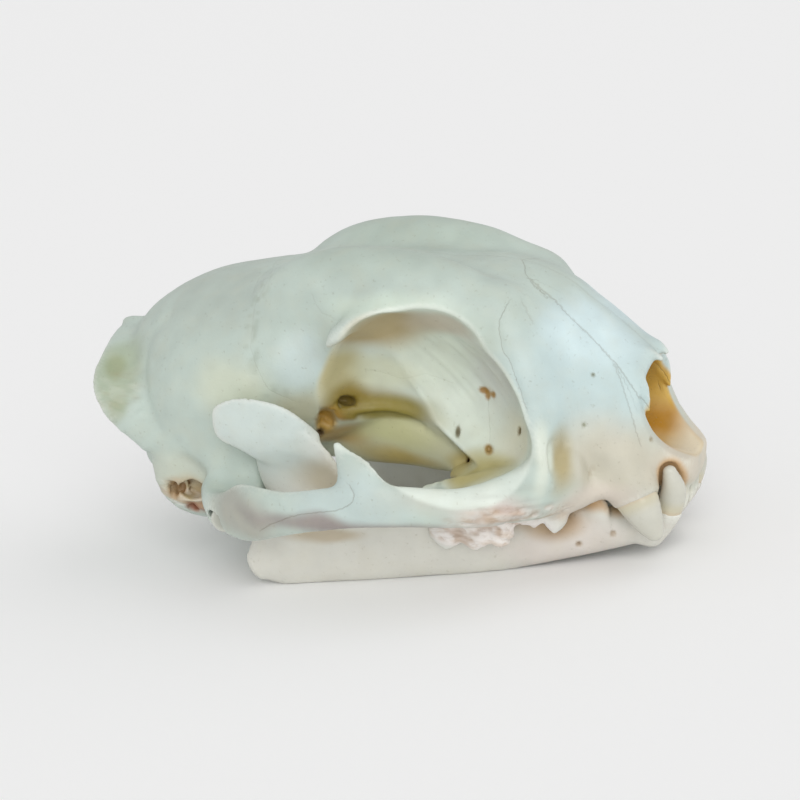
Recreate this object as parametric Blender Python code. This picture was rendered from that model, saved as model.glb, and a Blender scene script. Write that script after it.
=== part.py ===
"""Caracal skull with its lower jaw, life size, as a still museum piece.

The bones are modelled as volumes. Each form is a distance field, joined to or cut from the one before with a
soft edge, and the finished field is turned into a mesh. The forms are placed in millimetres in the skull's own
frame: +X forward to the nose, +Y the animal's left, +Z up, with the palate level. The finished pieces are then
pitched to stand on the lower jaw, with the floor at 0, and scaled to metres.
"""

import math

import bmesh
import bpy
import numpy as np
import openvdb
from mathutils import Matrix

MM = 0.001
STEP = 0.7          # spacing of the samples that the bone is built from
GAP = 0.3           # clearance between nodes that touch
BITE = 0.6          # clearance between the upper and lower jaw
FAR = 12.0          # value of a sample with nothing near it
COLLECTION = "caracal_skull"

# Driving dimensions, in the skull's own frame
REAR_X = -58.8      # nuchal crest
FRONT_X = 59.2      # front of the premaxilla
PALATE_Z = 19.5     # gum line of the upper canines
ARCH_Y = 41.0       # middle of the zygomatic arch at its widest
BRAIN_Y = 25.5      # half the breadth of the braincase
BROW_Z = 61.7       # top of the swellings over the orbits
CONDYLE = (-23.5, 28.0, 11.8)       # middle of the jaw joint
PITCH = 6.8         # degrees that the palate slopes down to the front when the skull stands
FLOOR = (-15.0, -1.9)               # x and z of the floor below the angle of the jaw
MIDDLE = (0.2, 28.2)                # x and z of a point half way along the standing skull

BONE = (0.79, 0.80, 0.74)
WARM_BONE = (0.82, 0.77, 0.70)
ENAMEL = (0.86, 0.83, 0.73)


# Distance fields: each gives its lowest corner, its highest corner and a function of x, y, z

def turned(degrees):
    """Rotation matrix from three angles about x, y and z."""
    rx, ry, rz = np.radians(degrees)
    about_x = np.array([[1, 0, 0], [0, math.cos(rx), -math.sin(rx)], [0, math.sin(rx), math.cos(rx)]])
    about_y = np.array([[math.cos(ry), 0, math.sin(ry)], [0, 1, 0], [-math.sin(ry), 0, math.cos(ry)]])
    about_z = np.array([[math.cos(rz), -math.sin(rz), 0], [math.sin(rz), math.cos(rz), 0], [0, 0, 1]])
    return about_z @ about_y @ about_x


def ellipsoid(centre, radii, degrees=(0, 0, 0)):
    """Ellipsoid turned about its centre."""
    matrix = turned(degrees)
    radii = np.array(radii, dtype=float)
    reach = np.sqrt((matrix ** 2) @ (radii ** 2))

    def distance(x, y, z):
        offset = (x - centre[0], y - centre[1], z - centre[2])
        near = 0.0
        slope = 0.0
        for axis in range(3):
            local = sum(matrix[i, axis] * offset[i] for i in range(3))
            near = near + (local / radii[axis]) ** 2
            slope = slope + (local / radii[axis] ** 2) ** 2
        near = np.sqrt(near)
        return near * (near - 1.0) / np.sqrt(slope + 1e-9)

    return np.array(centre) - reach, np.array(centre) + reach, distance


def smooth_path(points, pieces):
    """Points along a smooth curve through the given rows, all columns alike."""
    rows = np.array(points, dtype=float)
    ends = np.vstack([2 * rows[0] - rows[1], rows, 2 * rows[-1] - rows[-2]])
    path = []
    for i in range(1, len(ends) - 2):
        for t in np.arange(pieces) / pieces:
            a, b, c, d = ends[i - 1:i + 3]
            path.append(0.5 * (2 * b + (c - a) * t + (2 * a - 5 * b + 4 * c - d) * t ** 2
                               + (3 * b - a - 3 * c + d) * t ** 3))
    path.append(rows[-1])
    return np.array(path)


def strap(points, up=(0, 0, 1), pieces=3):
    """Bar along a curve; each point is x, y, z, half height along up, half thickness."""
    path = smooth_path(points, pieces)
    path[:, 3:5] = np.maximum(path[:, 3:5], 0.25)
    up = np.array(up, dtype=float)
    reach = path[:, 3:5].max(axis=1)[:, None]
    low = (path[:, :3] - reach).min(axis=0)
    high = (path[:, :3] + reach).max(axis=0)

    def distance(x, y, z):
        best = None
        for a, b in zip(path[:-1], path[1:]):
            run = b[:3] - a[:3]
            length = np.linalg.norm(run)
            along = run / length
            tall = up - along * up.dot(along)
            tall = tall / np.linalg.norm(tall)
            side = np.cross(along, tall)
            offset = (x - a[0], y - a[1], z - a[2])
            t = sum(along[i] * offset[i] for i in range(3))
            part = np.clip(t / length, 0.0, 1.0)
            height = a[3] + (b[3] - a[3]) * part
            thick = a[4] + (b[4] - a[4]) * part
            u = sum(tall[i] * offset[i] for i in range(3))
            s = sum(side[i] * offset[i] for i in range(3))
            w = t - part * length
            near = np.sqrt((u / height) ** 2 + (s ** 2 + w ** 2) / thick ** 2)
            slope = np.sqrt((u / height ** 2) ** 2 + (s ** 2 + w ** 2) / thick ** 4 + 1e-9)
            value = near * (near - 1.0) / slope
            best = value if best is None else np.minimum(best, value)
        return best

    return low, high, distance


def hull(stations, power=2.3, ends=3.0):
    """Body along x from rows of x, half width, top, bottom and flare, which widens it downwards."""
    rows = np.array(stations, dtype=float)
    wide = (rows[:, 1] * (1 + np.abs(rows[:, 4]))).max()
    low = np.array([rows[0, 0], -wide, rows[:, 3].min()])
    high = np.array([rows[-1, 0], wide, rows[:, 2].max()])
    path = smooth_path(rows, 6)
    centre = (rows[0, 0] + rows[-1, 0]) / 2
    reach = (rows[-1, 0] - rows[0, 0]) / 2

    def distance(x, y, z):
        place = np.clip(x, rows[0, 0], rows[-1, 0])
        half, top, bottom, flare = (np.interp(place, path[:, 0], path[:, c]) for c in range(1, 5))
        middle = (top + bottom) / 2
        tall = (top - bottom) / 2
        width = half * (1 + flare * np.clip((middle - z) / tall, -1.2, 1.2))
        a = np.abs(y) / width + 1e-6
        b = np.abs(z - middle) / tall + 1e-6
        near = (a ** power + b ** power) ** (1 / power)
        slope = near ** (1 - power) * np.sqrt((a ** (power - 1) / width) ** 2 + (b ** (power - 1) / tall) ** 2)
        side = (near - 1.0) / np.maximum(slope, 0.5 / (width + tall))
        return -softer(-side, -(np.abs(x - centre) - reach), ends)

    return low, high, distance


def block(low, high):
    """Box between two corners."""
    low = np.array(low, dtype=float)
    high = np.array(high, dtype=float)
    middle = (low + high) / 2
    half = (high - low) / 2

    def distance(x, y, z):
        return np.maximum(np.maximum(np.abs(x - middle[0]) - half[0], np.abs(y - middle[1]) - half[1]),
                          np.abs(z - middle[2]) - half[2])

    return low, high, distance


def slab(point, direction):
    """Half space behind a plane through a point, facing the given direction."""
    normal = np.array(direction, dtype=float)
    normal = normal / np.linalg.norm(normal)

    def distance(x, y, z):
        return normal[0] * (x - point[0]) + normal[1] * (y - point[1]) + normal[2] * (z - point[2])

    return None, None, distance


def grown(shape, clearance):
    """The same form, larger all round."""
    low, high, distance = shape
    return low - clearance, high + clearance, lambda x, y, z: distance(x, y, z) - clearance


def softer(old, new, blend):
    """The lesser of two fields, with a rounded change between them."""
    width = max(blend, 1e-3)
    h = np.clip(0.5 + 0.5 * (old - new) / width, 0.0, 1.0)
    return old + (new - old) * h - width * h * (1 - h)


class Volume:
    """A block of space sampled on a grid, with the distance to the surface at each sample."""

    def __init__(self, low, high, step=STEP):
        self.step = step
        self.low = np.array(low, dtype=float)
        counts = np.ceil((np.array(high) - self.low) / step).astype(int) + 1
        self.axes = [self.low[i] + step * np.arange(counts[i]) for i in range(3)]
        self.value = np.full(counts, FAR, dtype=np.float32)

    def window(self, low, high):
        """Slices of the samples between two corners, and their x, y and z."""
        if low is None:
            cuts = tuple(slice(0, len(axis)) for axis in self.axes)
        else:
            cuts = tuple(slice(int(np.searchsorted(axis, low[i])), int(np.searchsorted(axis, high[i])))
                         for i, axis in enumerate(self.axes))
        x, y, z = (axis[cut] for axis, cut in zip(self.axes, cuts))
        return cuts, x[:, None, None], y[None, :, None], z[None, None, :]

    def mix(self, shape, blend, sign):
        """Join (sign 1) or cut away (sign -1) a shape, with a soft edge blend wide."""
        low, high, distance = shape
        if low is not None:
            margin = blend + 4.0
            low = low - margin
            high = high + margin
        cuts, x, y, z = self.window(low, high)
        self.value[cuts] = sign * softer(sign * self.value[cuts], distance(x, y, z), blend)

    def join(self, shape, blend=1.0):
        self.mix(shape, blend, 1)

    def cut(self, shape, blend=1.0):
        self.mix(shape, blend, -1)

    def keep(self, shape, inset=0.0):
        """Keep only what lies inside a shape, drawn in by inset."""
        cuts, x, y, z = self.window(None, None)
        self.value = np.maximum(self.value, shape[2](x, y, z) + inset)

    def drop(self, shape, plane=None):
        """Clear the place of another node, all of it or only its part behind a plane."""
        low, high, distance = shape
        cuts, x, y, z = self.window(low - 2, high + 2)
        room = distance(x, y, z) - GAP / 2
        if plane:
            room = np.maximum(room - GAP / 2, plane[2](x, y, z) - GAP / 2)
        self.value[cuts] = np.maximum(self.value[cuts], -room)

    def copy(self):
        twin = Volume(self.low, self.low, self.step)
        twin.axes = self.axes
        twin.value = self.value.copy()
        return twin


def both(volume, action, shape_of, blend):
    """Use a shape and its mirror image across the middle plane."""
    for side in (-1, 1):
        getattr(volume, action)(shape_of(side), blend)


def sided(points, side):
    """The rows of a bar with y turned to one side."""
    return [(x, side * y, z, height, thick) for x, y, z, height, thick in points]


# The forms of the cranium

def braincase(volume):
    """The domed box of the brain, with the occiput sloping in below the nuchal crest."""
    volume.join(hull([(-57, 6.5, 36.0, 20, 0.0), (-50, 15.5, 44.2, 14, 0.16), (-40, 23.0, 50.2, 12.5, 0.18),
                      (-30, BRAIN_Y - 0.4, 52.9, 14.5, 0.14), (-20, BRAIN_Y - 1, 54.8, 16, 0.04),
                      (-10, 20.5, 56.0, 20, 0.0), (0, 15.5, 56.8, 24, 0.0), (8, 13.0, 57.0, 27, 0.0)],
                     power=2.2), 0.5)
    volume.cut(slab((REAR_X + 3.8, 0, 38), (0.93, 0, 0.36)), 4.0)
    both(volume, "cut", lambda s: ellipsoid((-54, s * 25, 18), (13, 11, 9), (0, 0, s * 30)), 4.0)


def frontal(volume):
    """Two swellings over the orbits with a valley between, and the postorbital processes."""
    volume.join(hull([(-18, 15, 55.4, 36, 0), (-4, 16, 56.0, 33, 0), (10, 16, 56.4, 31, 0),
                      (22, 14.0, 56.4, 30, 0.1), (34, 11, 53.8, 26, 0.2)], power=2.5), 3.0)
    both(volume, "join", lambda s: ellipsoid((2.2, s * 13.2, BROW_Z - 12), (25.5, 9, 12)), 3.5)
    both(volume, "join", lambda s: strap([(12, s * 15, 53, 3.5, 5), (5, s * 20.5, 52, 2.8, 4.4),
                                          (1, s * 24.2, 50.2, 2.2, 3.4), (-2.0, s * 25.8, 48.4, 1.6, 2.2),
                                          (-3.6, s * 25.8, 46.6, 0.9, 1.3)]), 3.5)


def muzzle(volume):
    """Nasal bones and maxillae, wide at the tooth row, with the canine roots showing."""
    volume.join(hull([(0, 12, 56, 27, 0.0), (12, 15, 57.5, 24, 0.2), (22, 19.6, 58.2, 19.5, 0.32),
                      (30, 20.4, 56.4, 19, 0.31),
                      (38, 18.0, 52.2, 18.5, 0.33), (46, 14.0, 46.6, 18.5, 0.26), (52, 11.8, 41.4, 18.5, 0.1),
                      (56, 9.8, 35.0, 18.3, 0.0), (FRONT_X, 8.0, 30.0, 18.3, 0.0)], power=2.5), 4.0)
    both(volume, "join", lambda s: strap([(50.0, s * 12.5, 20, 4.0, 4.0), (46, s * 12.5, 28, 4.0, 3.6),
                                          (41, s * 11.5, 36, 3.0, 3.0)], up=(1, 0, 0)), 4.0)


NOSTRIL = ((66, 0, 32, 7.0, 8.0), (55, 0, 32.2, 6.8, 8.2), (48, 0, 34.4, 7.2, 8.0), (40, 0, 36, 7.0, 7.5),
           (32, 0, 37, 6.0, 6.5))


def nasal_opening(volume):
    """The bony nostril, its rim curving back up to the tips of the nasal bones, each with a downward spine."""
    volume.cut(strap([(64.0, -24, 38.5, 14.2, 14.2), (64.0, 24, 38.5, 14.2, 14.2)]), 0.8)
    volume.cut(strap(NOSTRIL), 1.2)
    both(volume, "join", lambda s: strap([(47.4, s * 7.4, 41.5, 1.2, 0.9), (49.4, s * 8.3, 38.5, 1.5, 0.8),
                                          (51.0, s * 8.2, 34.6, 0.4, 0.5)], up=(1, 0, 0)), 0.8)


def cheeks(volume):
    """The maxillae widening back to the front rims of the orbits."""
    both(volume, "join", lambda s: strap([(25, s * 13.5, 51, 4.0, 4.0), (29.5, s * 17.2, 43, 4.0, 3.6),
                                          (33.0, s * 20.0, 35, 4.0, 3.6)], up=(1, 0, 0)), 6.5)
    both(volume, "join", lambda s: strap([(32.6, s * 20.4, 35, 4.0, 3.6), (33.2, s * 23.6, 28.5, 4.6, 4.0),
                                          (31, s * 24.0, 21, 5.5, 3.0)], up=(1, 0, 0)), 3.0)


# Orbit: centre, radii and turn of each hollow on the left side, and the width of its soft edge
ORBIT = (((16.0, 28.0, 36.9), (20.3, 18.8, 12.7), (0, 39, 0), 0.8),
         ((13.6, 27.0, 43.2), (11.5, 13.5, 11.0), (0, 0, 0), 0.8),
         ((26.0, 31.0, 31.0), (9.0, 10.0, 6.0), (0, 0, 0), 2.0),
         ((4.0, 24.5, 31.5), (13.5, 13.0, 17.3), (0, 0, 8), 0.9))


def orbit_hollow(row, side):
    """One of the hollows of an orbit."""
    (x, y, z), radii, (about_x, about_y, about_z), blend = row
    return ellipsoid((x, side * y, z), radii, (about_x, about_y, side * about_z))


def orbits(volume):
    """The eye sockets, longest down to the front, and open below behind the maxilla."""
    for row in ORBIT:
        both(volume, "cut", lambda s: orbit_hollow(row, s), row[3])


def maxillae(volume):
    """The shelf that carries the cheek teeth, the floor of the orbit over it, and the foramen in front."""
    both(volume, "join", lambda s: ellipsoid((27, s * 23.5, 20.3), (8.5, 9.5, 4.4), (0, -16, 0)), 2.0)
    both(volume, "join", lambda s: strap([(43, s * 15.0, 21.0, 2.6, 3.0), (36, s * 19.0, 19.0, 3.6, 3.0),
                                          (28, s * 22.4, 18.2, 4.4, 2.8), (20, s * 23.6, 18.0, 4.6, 2.6),
                                          (14, s * 22.5, 17.6, 2.6, 2.0)]), 2.5)
    both(volume, "cut", lambda s: ellipsoid((41.0, s * 26.5, 29.0), (4.2, 8.0, 4.8), (0, 0, -s * 20)), 0.5)
    both(volume, "cut", lambda s: strap([(39.4, s * 23.5, 29.2, 2.8, 1.5),
                                         (35.0, s * 19.0, 29.4, 2.0, 1.2)]), 0.4)


def arches(volume):
    """The zygomatic arches, from the maxilla round to the temporal root, and the jaw joint's roof."""
    both(volume, "join", lambda s: strap([(39, s * 19, 23.6, 5.6, 3.4), (35.2, s * 24, 22.8, 5.4, 3.6),
                                          (30.5, s * 29.2, 21.8, 4.3, 3.2),
                                          (23, s * 34.8, 21.2, 3.6, 2.3), (14, s * 38.5, 21.6, 3.8, 1.9),
                                          (4, s * 40.3, 20.8, 3.9, 1.8), (-7, s * (ARCH_Y - 1), 18.2, 4.0, 1.7),
                                          (-16.5, s * 36.6, 15.8, 5.4, 1.8), (-23, s * 32.4, 14.2, 4.2, 2.0),
                                          (-27.5, s * 26.5, 14.6, 3.4, 2.6)], pieces=4), 2.0)
    both(volume, "join", lambda s: strap([(7.0, s * 39.2, 23.5, 5.4, 1.6), (5.4, s * 38.7, 27, 3.4, 1.4),
                                          (3.0, s * 37.8, 29.6, 1.5, 1.1), (1.8, s * 37.2, 31.0, 0.7, 0.8)],
                                         up=(1, 0, 0)), 1.5)
    both(volume, "join", lambda s: strap([(-22, s * 12, 18, 4.0, 6.0), (-22.5, s * 22, 17.5, 3.6, 6.0),
                                          (-24, s * 29, 15.5, 3.0, 4.0)]), 3.0)
    both(volume, "join", lambda s: strap([(-29.0, s * 21, 13.0, 3.6, 1.6),
                                          (-27.8, s * 27, 11.4, 3.3, 1.3)]), 1.5)


def base(volume):
    """Ear bullae, mastoids, occipital condyles and the crest round the occiput."""
    both(volume, "join", lambda s: ellipsoid((-34.4, s * 14.5, 14.0), (10.2, 8.5, 8.8), (0, 0, -s * 12)), 1.5)
    both(volume, "join", lambda s: strap([(-41, s * 20.0, 24, 4.6, 3.0), (-39.2, s * 20.6, 15.0, 3.2, 2.4),
                                          (-37.6, s * 19.5, 11.0, 2.2, 2.0)]), 2.5)
    both(volume, "join", lambda s: ellipsoid((-47.0, s * 7.4, 15.5), (4.4, 3.8, 5.2), (0, 12, s * 18)), 1.5)
    crest = [(-43, 22.2, 22, 2.4, 1.4), (-48.2, 21.4, 27, 3.8, 1.4), (-52.0, 17.5, 31.5, 4.8, 1.3),
             (-53.4, 11, 35.2, 4.4, 1.2), (-54.2, 5.5, 37.0, 4.2, 1.2), (-54.6, 0, 37.6, 4.2, 1.2)]
    both(volume, "join", lambda s: strap(sided(crest, s), up=(1, 0, -0.12)), 2.5)
    volume.cut(strap([(-60, 0, 20.5, 5.2, 6.6), (-48, 0, 21, 5.2, 6.4), (-40, 0, 23, 4.0, 5.0)]), 1.0)
    both(volume, "cut", lambda s: strap([(-33.4, s * 30, 12.6, 2.0, 2.7),
                                         (-34.8, s * 18, 13.4, 1.9, 2.4)]), 0.6)


def wings(volume):
    """The palatine and pterygoid plates behind the palate, with the throat between them."""
    both(volume, "join", lambda s: strap([(16, s * 8.5, 24, 6.5, 4.0), (6, s * 7.6, 24.5, 6.5, 3.6),
                                          (-4, s * 7.2, 23.5, 6.0, 3.0), (-12, s * 7.5, 21.5, 4.0, 1.6)]), 1.5)
    volume.cut(strap([(14, 0, 24, 3.4, 4.4), (4, 0, 22, 4.5, 5.6), (-8, 0, 19.5, 4.5, 5.6),
                      (-18, 0, 16, 3.0, 5.0)]), 1.5)


def palate(volume):
    """The vaulted roof of the mouth, closed at the back by the floor of the orbits."""
    volume.cut(ellipsoid((32, 0, 16.5), (24, 14.5, 4.6)), 2.5)
    both(volume, "join", lambda s: strap([(30, s * 18.0, 21.4, 1.8, 6.0), (23, s * 14.0, 20.8, 2.0, 7.0),
                                          (19.0, s * 11.5, 19.6, 2.0, 4.2)]), 1.5)


# Teeth: x, y and z of each cusp's tip, its half length and its half thickness
UPPER_CUSPS = ((41.0, 17.2, 17.6, 1.4, 1.3), (37.0, 19.4, 12.8, 2.3, 1.9), (33.4, 20.6, 13.8, 2.2, 1.7),
               (27.6, 22.8, 9.9, 2.6, 2.0), (23.0, 23.3, 9.0, 3.4, 2.0), (17.6, 23.2, 8.4, 3.4, 1.9),
               (15.0, 20.5, 12.6, 1.5, 1.8))
LOWER_CUSPS = ((42.8, 12.6, 19.9, 2.7, 1.3), (39.4, 13.4, 16.6, 1.8, 1.2), (34.8, 15.0, 17.4, 1.8, 1.6),
               (31.8, 15.8, 20.0, 2.6, 1.8), (28.6, 16.6, 17.8, 1.8, 1.6), (23.8, 18.2, 19.6, 2.8, 1.6),
               (18.6, 19.2, 20.0, 2.9, 1.5))
UPPER_INCISORS = ((1.4, 1.1), (4.1, 1.25), (6.9, 1.7))      # y and half width of each
LOWER_INCISORS = ((1.3, 0.8), (3.3, 0.9), (5.4, 1.0))
UPPER_CANINE = ((46.0, 12.6, 25, 4.2, 3.5), (50.4, 13.8, 19.6, 4.0, 3.3), (53.0, 14.6, 15.8, 2.9, 2.5),
                (54.5, 14.8, 13.4, 1.7, 1.5))
LOWER_CANINE = ((52.0, 7.4, 10.5, 2.8, 2.6), (55.3, 8.4, 15.5, 2.5, 2.4), (56.4, 9.2, 20.0, 2.3, 2.0),
                (55.7, 9.8, 23.6, 1.3, 1.2))
UPPER_GUM = ((50.4, 13.8, 19.3), (0.5, 0.1, -0.87))     # point and direction of the cut at the gum
LOWER_GUM = ((55.4, 8.5, 16.0), (0.2, 0.15, 0.97))


def cusp(x, y, root_z, tip_z, length, thick):
    """One cusp of a cheek tooth, a blade that narrows to its tip."""
    return strap([(x, y, root_z, length, thick), (x, y, (root_z + tip_z) / 2, length, thick),
                  (x, y, tip_z, length * 0.3, thick * 0.4)], up=(1, 0, 0))


def upper_teeth(volume):
    """Premolars, carnassial, the little molar and the row of incisors."""
    for x, y, z, length, thick in UPPER_CUSPS:
        both(volume, "join", lambda s: cusp(x, s * y, min(PALATE_Z, z + 5), z + 0.6, length, thick), 0.7)
    for i, (y, size) in enumerate(UPPER_INCISORS):
        x = FRONT_X - 1.6 - 0.03 * y ** 2
        both(volume, "join", lambda s: strap([(x - 1, s * y, 21, size, size), (x, s * y, 18, size, size),
                                              (x + 0.2, s * y, 15.8 - 0.5 * i, size * 0.5, size * 0.6)],
                                             up=(1, 0, 0)), 0.5)


def crown(points, side):
    """The form of a canine from its root to its tip."""
    return strap(sided(points, side), up=(1, 0, 0), pieces=4)


def gum(cut, side):
    """The plane at a canine's gum, facing away from the crown."""
    (px, py, pz), (dx, dy, dz) = cut
    return slab((px, side * py, pz), (-dx, -side * dy, -dz))


def canine(points, cut, side):
    """The crown of a canine, cut off at the gum line."""
    form = crown(points, side)
    volume = Volume(form[0] - 2, form[1] + 2, 0.45)
    volume.join(form, 0.1)
    volume.keep(gum(cut, side), GAP / 2)
    return volume


def cranium():
    volume = Volume((REAR_X - 4, -47, 3), (FRONT_X + 5, 47, BROW_Z + 5))
    braincase(volume)
    frontal(volume)
    muzzle(volume)
    cheeks(volume)
    orbits(volume)
    maxillae(volume)
    wings(volume)
    palate(volume)
    arches(volume)
    base(volume)
    nasal_opening(volume)
    upper_teeth(volume)
    return volume


# The lower jaw

BODY = ((54.2, 3.0, 15.4, 2.6, 2.6), (52.6, 4.4, 13.6, 4.0, 3.3), (49, 7.2, 12.2, 4.0, 3.6),
        (45, 9.8, 11.3, 4.0, 3.5), (36, 13.4, 9.9, 4.7, 3.3), (26, 16.6, 9.4, 6.6, 3.1),
        (14, 20.0, 8.5, 7.3, 3.0), (2, 23.0, 7.6, 7.8, 2.8), (-8, 25.2, 6.6, 8.0, 2.3),
        (-14.5, 26.6, 4.0, 6.7, 2.0), (-18.4, 27.2, 1.7, 3.3, 1.9))
RAMUS = ((-6, 25.2, 11, 9.5, 2.0), (-8.4, 26.4, 17.5, 8.6, 1.9), (-10.6, 27.5, 22.5, 8.0, 1.6),
         (-13, 28.4, 27, 6.2, 1.3))
CORONOID = ((-8.5, 27.6, 25.6, 4.4, 1.4), (-14, 28.8, 28.6, 5.7, 1.3), (-19.5, 29.8, 30.3, 5.1, 1.1),
            (-23.4, 30.0, 30.2, 4.0, 1.0), (-24.9, 30.0, 30.0, 3.0, 0.9))
NECK = ((-12, 26.6, 11, 4.6, 2.0), (-18, 27.4, 11.6, 3.4, 2.2), (-22, 28.0, 11.8, 2.4, 2.4))


def half_jaw(side):
    """One half of the lower jaw with its cheek teeth, side -1 right or 1 left."""
    volume = Volume((-34, min(0, side * 40), -4), (FRONT_X + 4, max(0, side * 40), 42))
    volume.join(strap(sided(BODY, side), pieces=4), 1.0)
    volume.join(strap(sided(RAMUS, side), up=(1, 0, 0)), 3.0)
    volume.join(strap(sided(CORONOID, side)), 2.0)
    volume.join(strap(sided(NECK, side)), 2.0)
    x, y, z = CONDYLE
    volume.join(strap([(x, side * (y - 7.0), z - 0.4, 2.4, 2.4), (x, side * y, z, 2.8, 2.8),
                       (x, side * (y + 4.5), z, 2.3, 2.3)]), 1.5)
    volume.cut(ellipsoid((-8.5, side * 30.6, 17.5), (10.5, 3.5, 7.0), (0, 20, -side * 12)), 2.0)
    for x, y, z, length, thick in LOWER_CUSPS:
        volume.join(cusp(x, side * y, 12, z - 0.6, length, thick), 0.7)
    for i, (y, size) in enumerate(LOWER_INCISORS):
        x = 56.8 - 0.04 * y ** 2
        volume.join(strap([(x - 0.8, side * y, 15, size, size),
                           (x + 0.2, side * y, 18.6, size * 0.7, size * 0.8)], up=(1, 0, 0)), 0.5)
    tilt = math.radians(PITCH)
    volume.cut(slab((FLOOR[0], 0, FLOOR[1]), (-math.sin(tilt), 0, math.cos(tilt))), 0.2)
    volume.keep(slab((0, side * GAP / 2, 0), (0, -side, 0)))
    return volume


# From fields to meshes

def sample(volume, at):
    """Values of a field at the samples of another one, taken at the nearest sample."""
    index = [np.clip(np.round((axis - volume.low[i]) / volume.step).astype(int), 0, len(volume.axes[i]) - 1)
             for i, axis in enumerate(at)]
    return volume.value[np.ix_(*index)]


def stance():
    """The matrix from the skull's own frame to the object's, standing on the floor, in metres."""
    turn = Matrix.Rotation(math.radians(PITCH), 4, "Y")
    point = turn @ Matrix.Translation((FLOOR[0], 0, FLOOR[1])).to_translation()
    middle = turn @ Matrix.Translation((MIDDLE[0], 0, MIDDLE[1])).to_translation()
    return Matrix.Scale(MM, 4) @ Matrix.Translation((-middle.x, 0, -point.z)) @ turn


def mesh_of(volume, name, triangles, colour, roughness):
    """A closed mesh of the field's zero surface, thinned to a number of triangles."""
    grid = openvdb.FloatGrid(FAR)
    block_values = np.pad(np.clip(volume.value, -FAR, FAR), 1, constant_values=FAR)
    grid.copyFromArray(block_values.astype(np.float32))
    points, quads = grid.convertToQuads()
    points = (np.array(points) - 1) * volume.step + volume.low
    mesh = bpy.data.meshes.new(name)
    mesh.from_pydata(points.tolist(), [], quads.tolist())
    body = bpy.data.objects.new(name, mesh)
    bpy.data.collections[COLLECTION].objects.link(body)
    keep_largest(mesh)
    thin = body.modifiers.new("thin", "DECIMATE")
    thin.ratio = min(1.0, triangles / (2 * len(mesh.polygons)))
    thin.use_collapse_triangulate = True
    bpy.context.view_layer.update()
    shape = bpy.data.meshes.new_from_object(body.evaluated_get(bpy.context.evaluated_depsgraph_get()))
    body.modifiers.clear()
    body.data = shape
    bpy.data.meshes.remove(mesh)
    shape.name = name
    shape.transform(stance())
    keep_largest(shape)
    for vertex in shape.vertices:
        if vertex.co.z < 0.08 * MM:
            vertex.co.z = 0.0
    shape.shade_smooth()
    shape.set_sharp_from_angle(angle=math.radians(45))
    shape.materials.append(material(name, colour, roughness))
    return body


def keep_largest(mesh):
    """Drop all but the largest closed surface, and face it outwards."""
    work = bmesh.new()
    work.from_mesh(mesh)
    left = set(work.verts)
    groups = []
    while left:
        stack = [left.pop()]
        group = list(stack)
        while stack:
            for edge in stack.pop().link_edges:
                for vertex in edge.verts:
                    if vertex in left:
                        left.remove(vertex)
                        stack.append(vertex)
                        group.append(vertex)
        groups.append(group)
    groups.sort(key=len)
    loose = [vertex for group in groups[:-1] for vertex in group]
    bmesh.ops.delete(work, geom=loose, context="VERTS")
    if work.calc_volume(signed=True) < 0:
        bmesh.ops.reverse_faces(work, faces=work.faces)
    work.to_mesh(mesh)
    work.free()


def material(name, colour, roughness):
    """A plain Principled material."""
    made = bpy.data.materials.new(name)
    made.use_nodes = True
    shader = made.node_tree.nodes["Principled BSDF"]
    shader.inputs["Base Color"].default_value = (*colour, 1.0)
    shader.inputs["Roughness"].default_value = roughness
    shader.inputs["Metallic"].default_value = 0.0
    return made


# Where the cranium is parted into nodes
FACE_CUT = ((-6, 0, 36), (1, 0, 0.45))      # plane between face and braincase
ARCH_BLOCK = ((-40, 29.0, 0), (45, 50, 37))
BULLA_BLOCK = ((-47.5, 7.0, 0), (-25.0, 21.4, 13.5))


def sided_block(corners, side):
    """A block on one side of the skull."""
    (x0, y0, z0), (x1, y1, z1) = corners
    return block((x0, min(side * y0, side * y1), z0), (x1, max(side * y0, side * y1), z1))


def main():
    for old in list(bpy.data.objects):
        bpy.data.objects.remove(old, do_unlink=True)
    group = bpy.data.collections.new(COLLECTION)
    bpy.context.scene.collection.children.link(group)

    skull = cranium()
    for side, word in ((-1, "right"), (1, "left")):
        jaw = half_jaw(side)
        lower = crown(LOWER_CANINE, side)
        upper = crown(UPPER_CANINE, side)
        clear = BITE - sample(jaw, skull.axes)
        clear[:, side * skull.axes[1] < 0, :] = -FAR
        skull.value = np.maximum(skull.value, clear)
        skull.cut(grown(lower, BITE), 0.8)
        skull.drop(upper, gum(UPPER_GUM, side))
        jaw.drop(lower, gum(LOWER_GUM, side))
        jaw.cut(grown(upper, BITE), 0.8)
        mesh_of(jaw, f"mandible_{word}", 1500, WARM_BONE, 0.5)
        mesh_of(canine(UPPER_CANINE, UPPER_GUM, side), f"canine_upper_{word}", 160, ENAMEL, 0.3)
        mesh_of(canine(LOWER_CANINE, LOWER_GUM, side), f"canine_lower_{word}", 160, ENAMEL, 0.3)
    for side, word in ((-1, "right"), (1, "left")):
        for node, corners, count in (("zygomatic_arch", ARCH_BLOCK, 700), ("auditory_bulla", BULLA_BLOCK, 300)):
            part = skull.copy()
            part.keep(sided_block(corners, side), GAP / 2)
            mesh_of(part, f"{node}_{word}", count, BONE, 0.5)
    for side in (-1, 1):
        for corners in (ARCH_BLOCK, BULLA_BLOCK):
            skull.drop(sided_block(corners, side))
    point, (nx, ny, nz) = FACE_CUT
    face = skull.copy()
    face.keep(slab(point, (-nx, -ny, -nz)), GAP / 2)
    skull.keep(slab(point, (nx, ny, nz)), GAP / 2)
    mesh_of(face, "face", 2800, BONE, 0.5)
    mesh_of(skull, "braincase", 2200, BONE, 0.5)


main()
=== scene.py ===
"""Looks of the caracal skull: the part's forms at a finer grain, with sutures, pores and stains. Lengths are
in millimetres in the skull's own frame until a mesh is made."""

import math

import bpy
import numpy as np
import openvdb
from mathutils import Matrix, Vector


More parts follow.
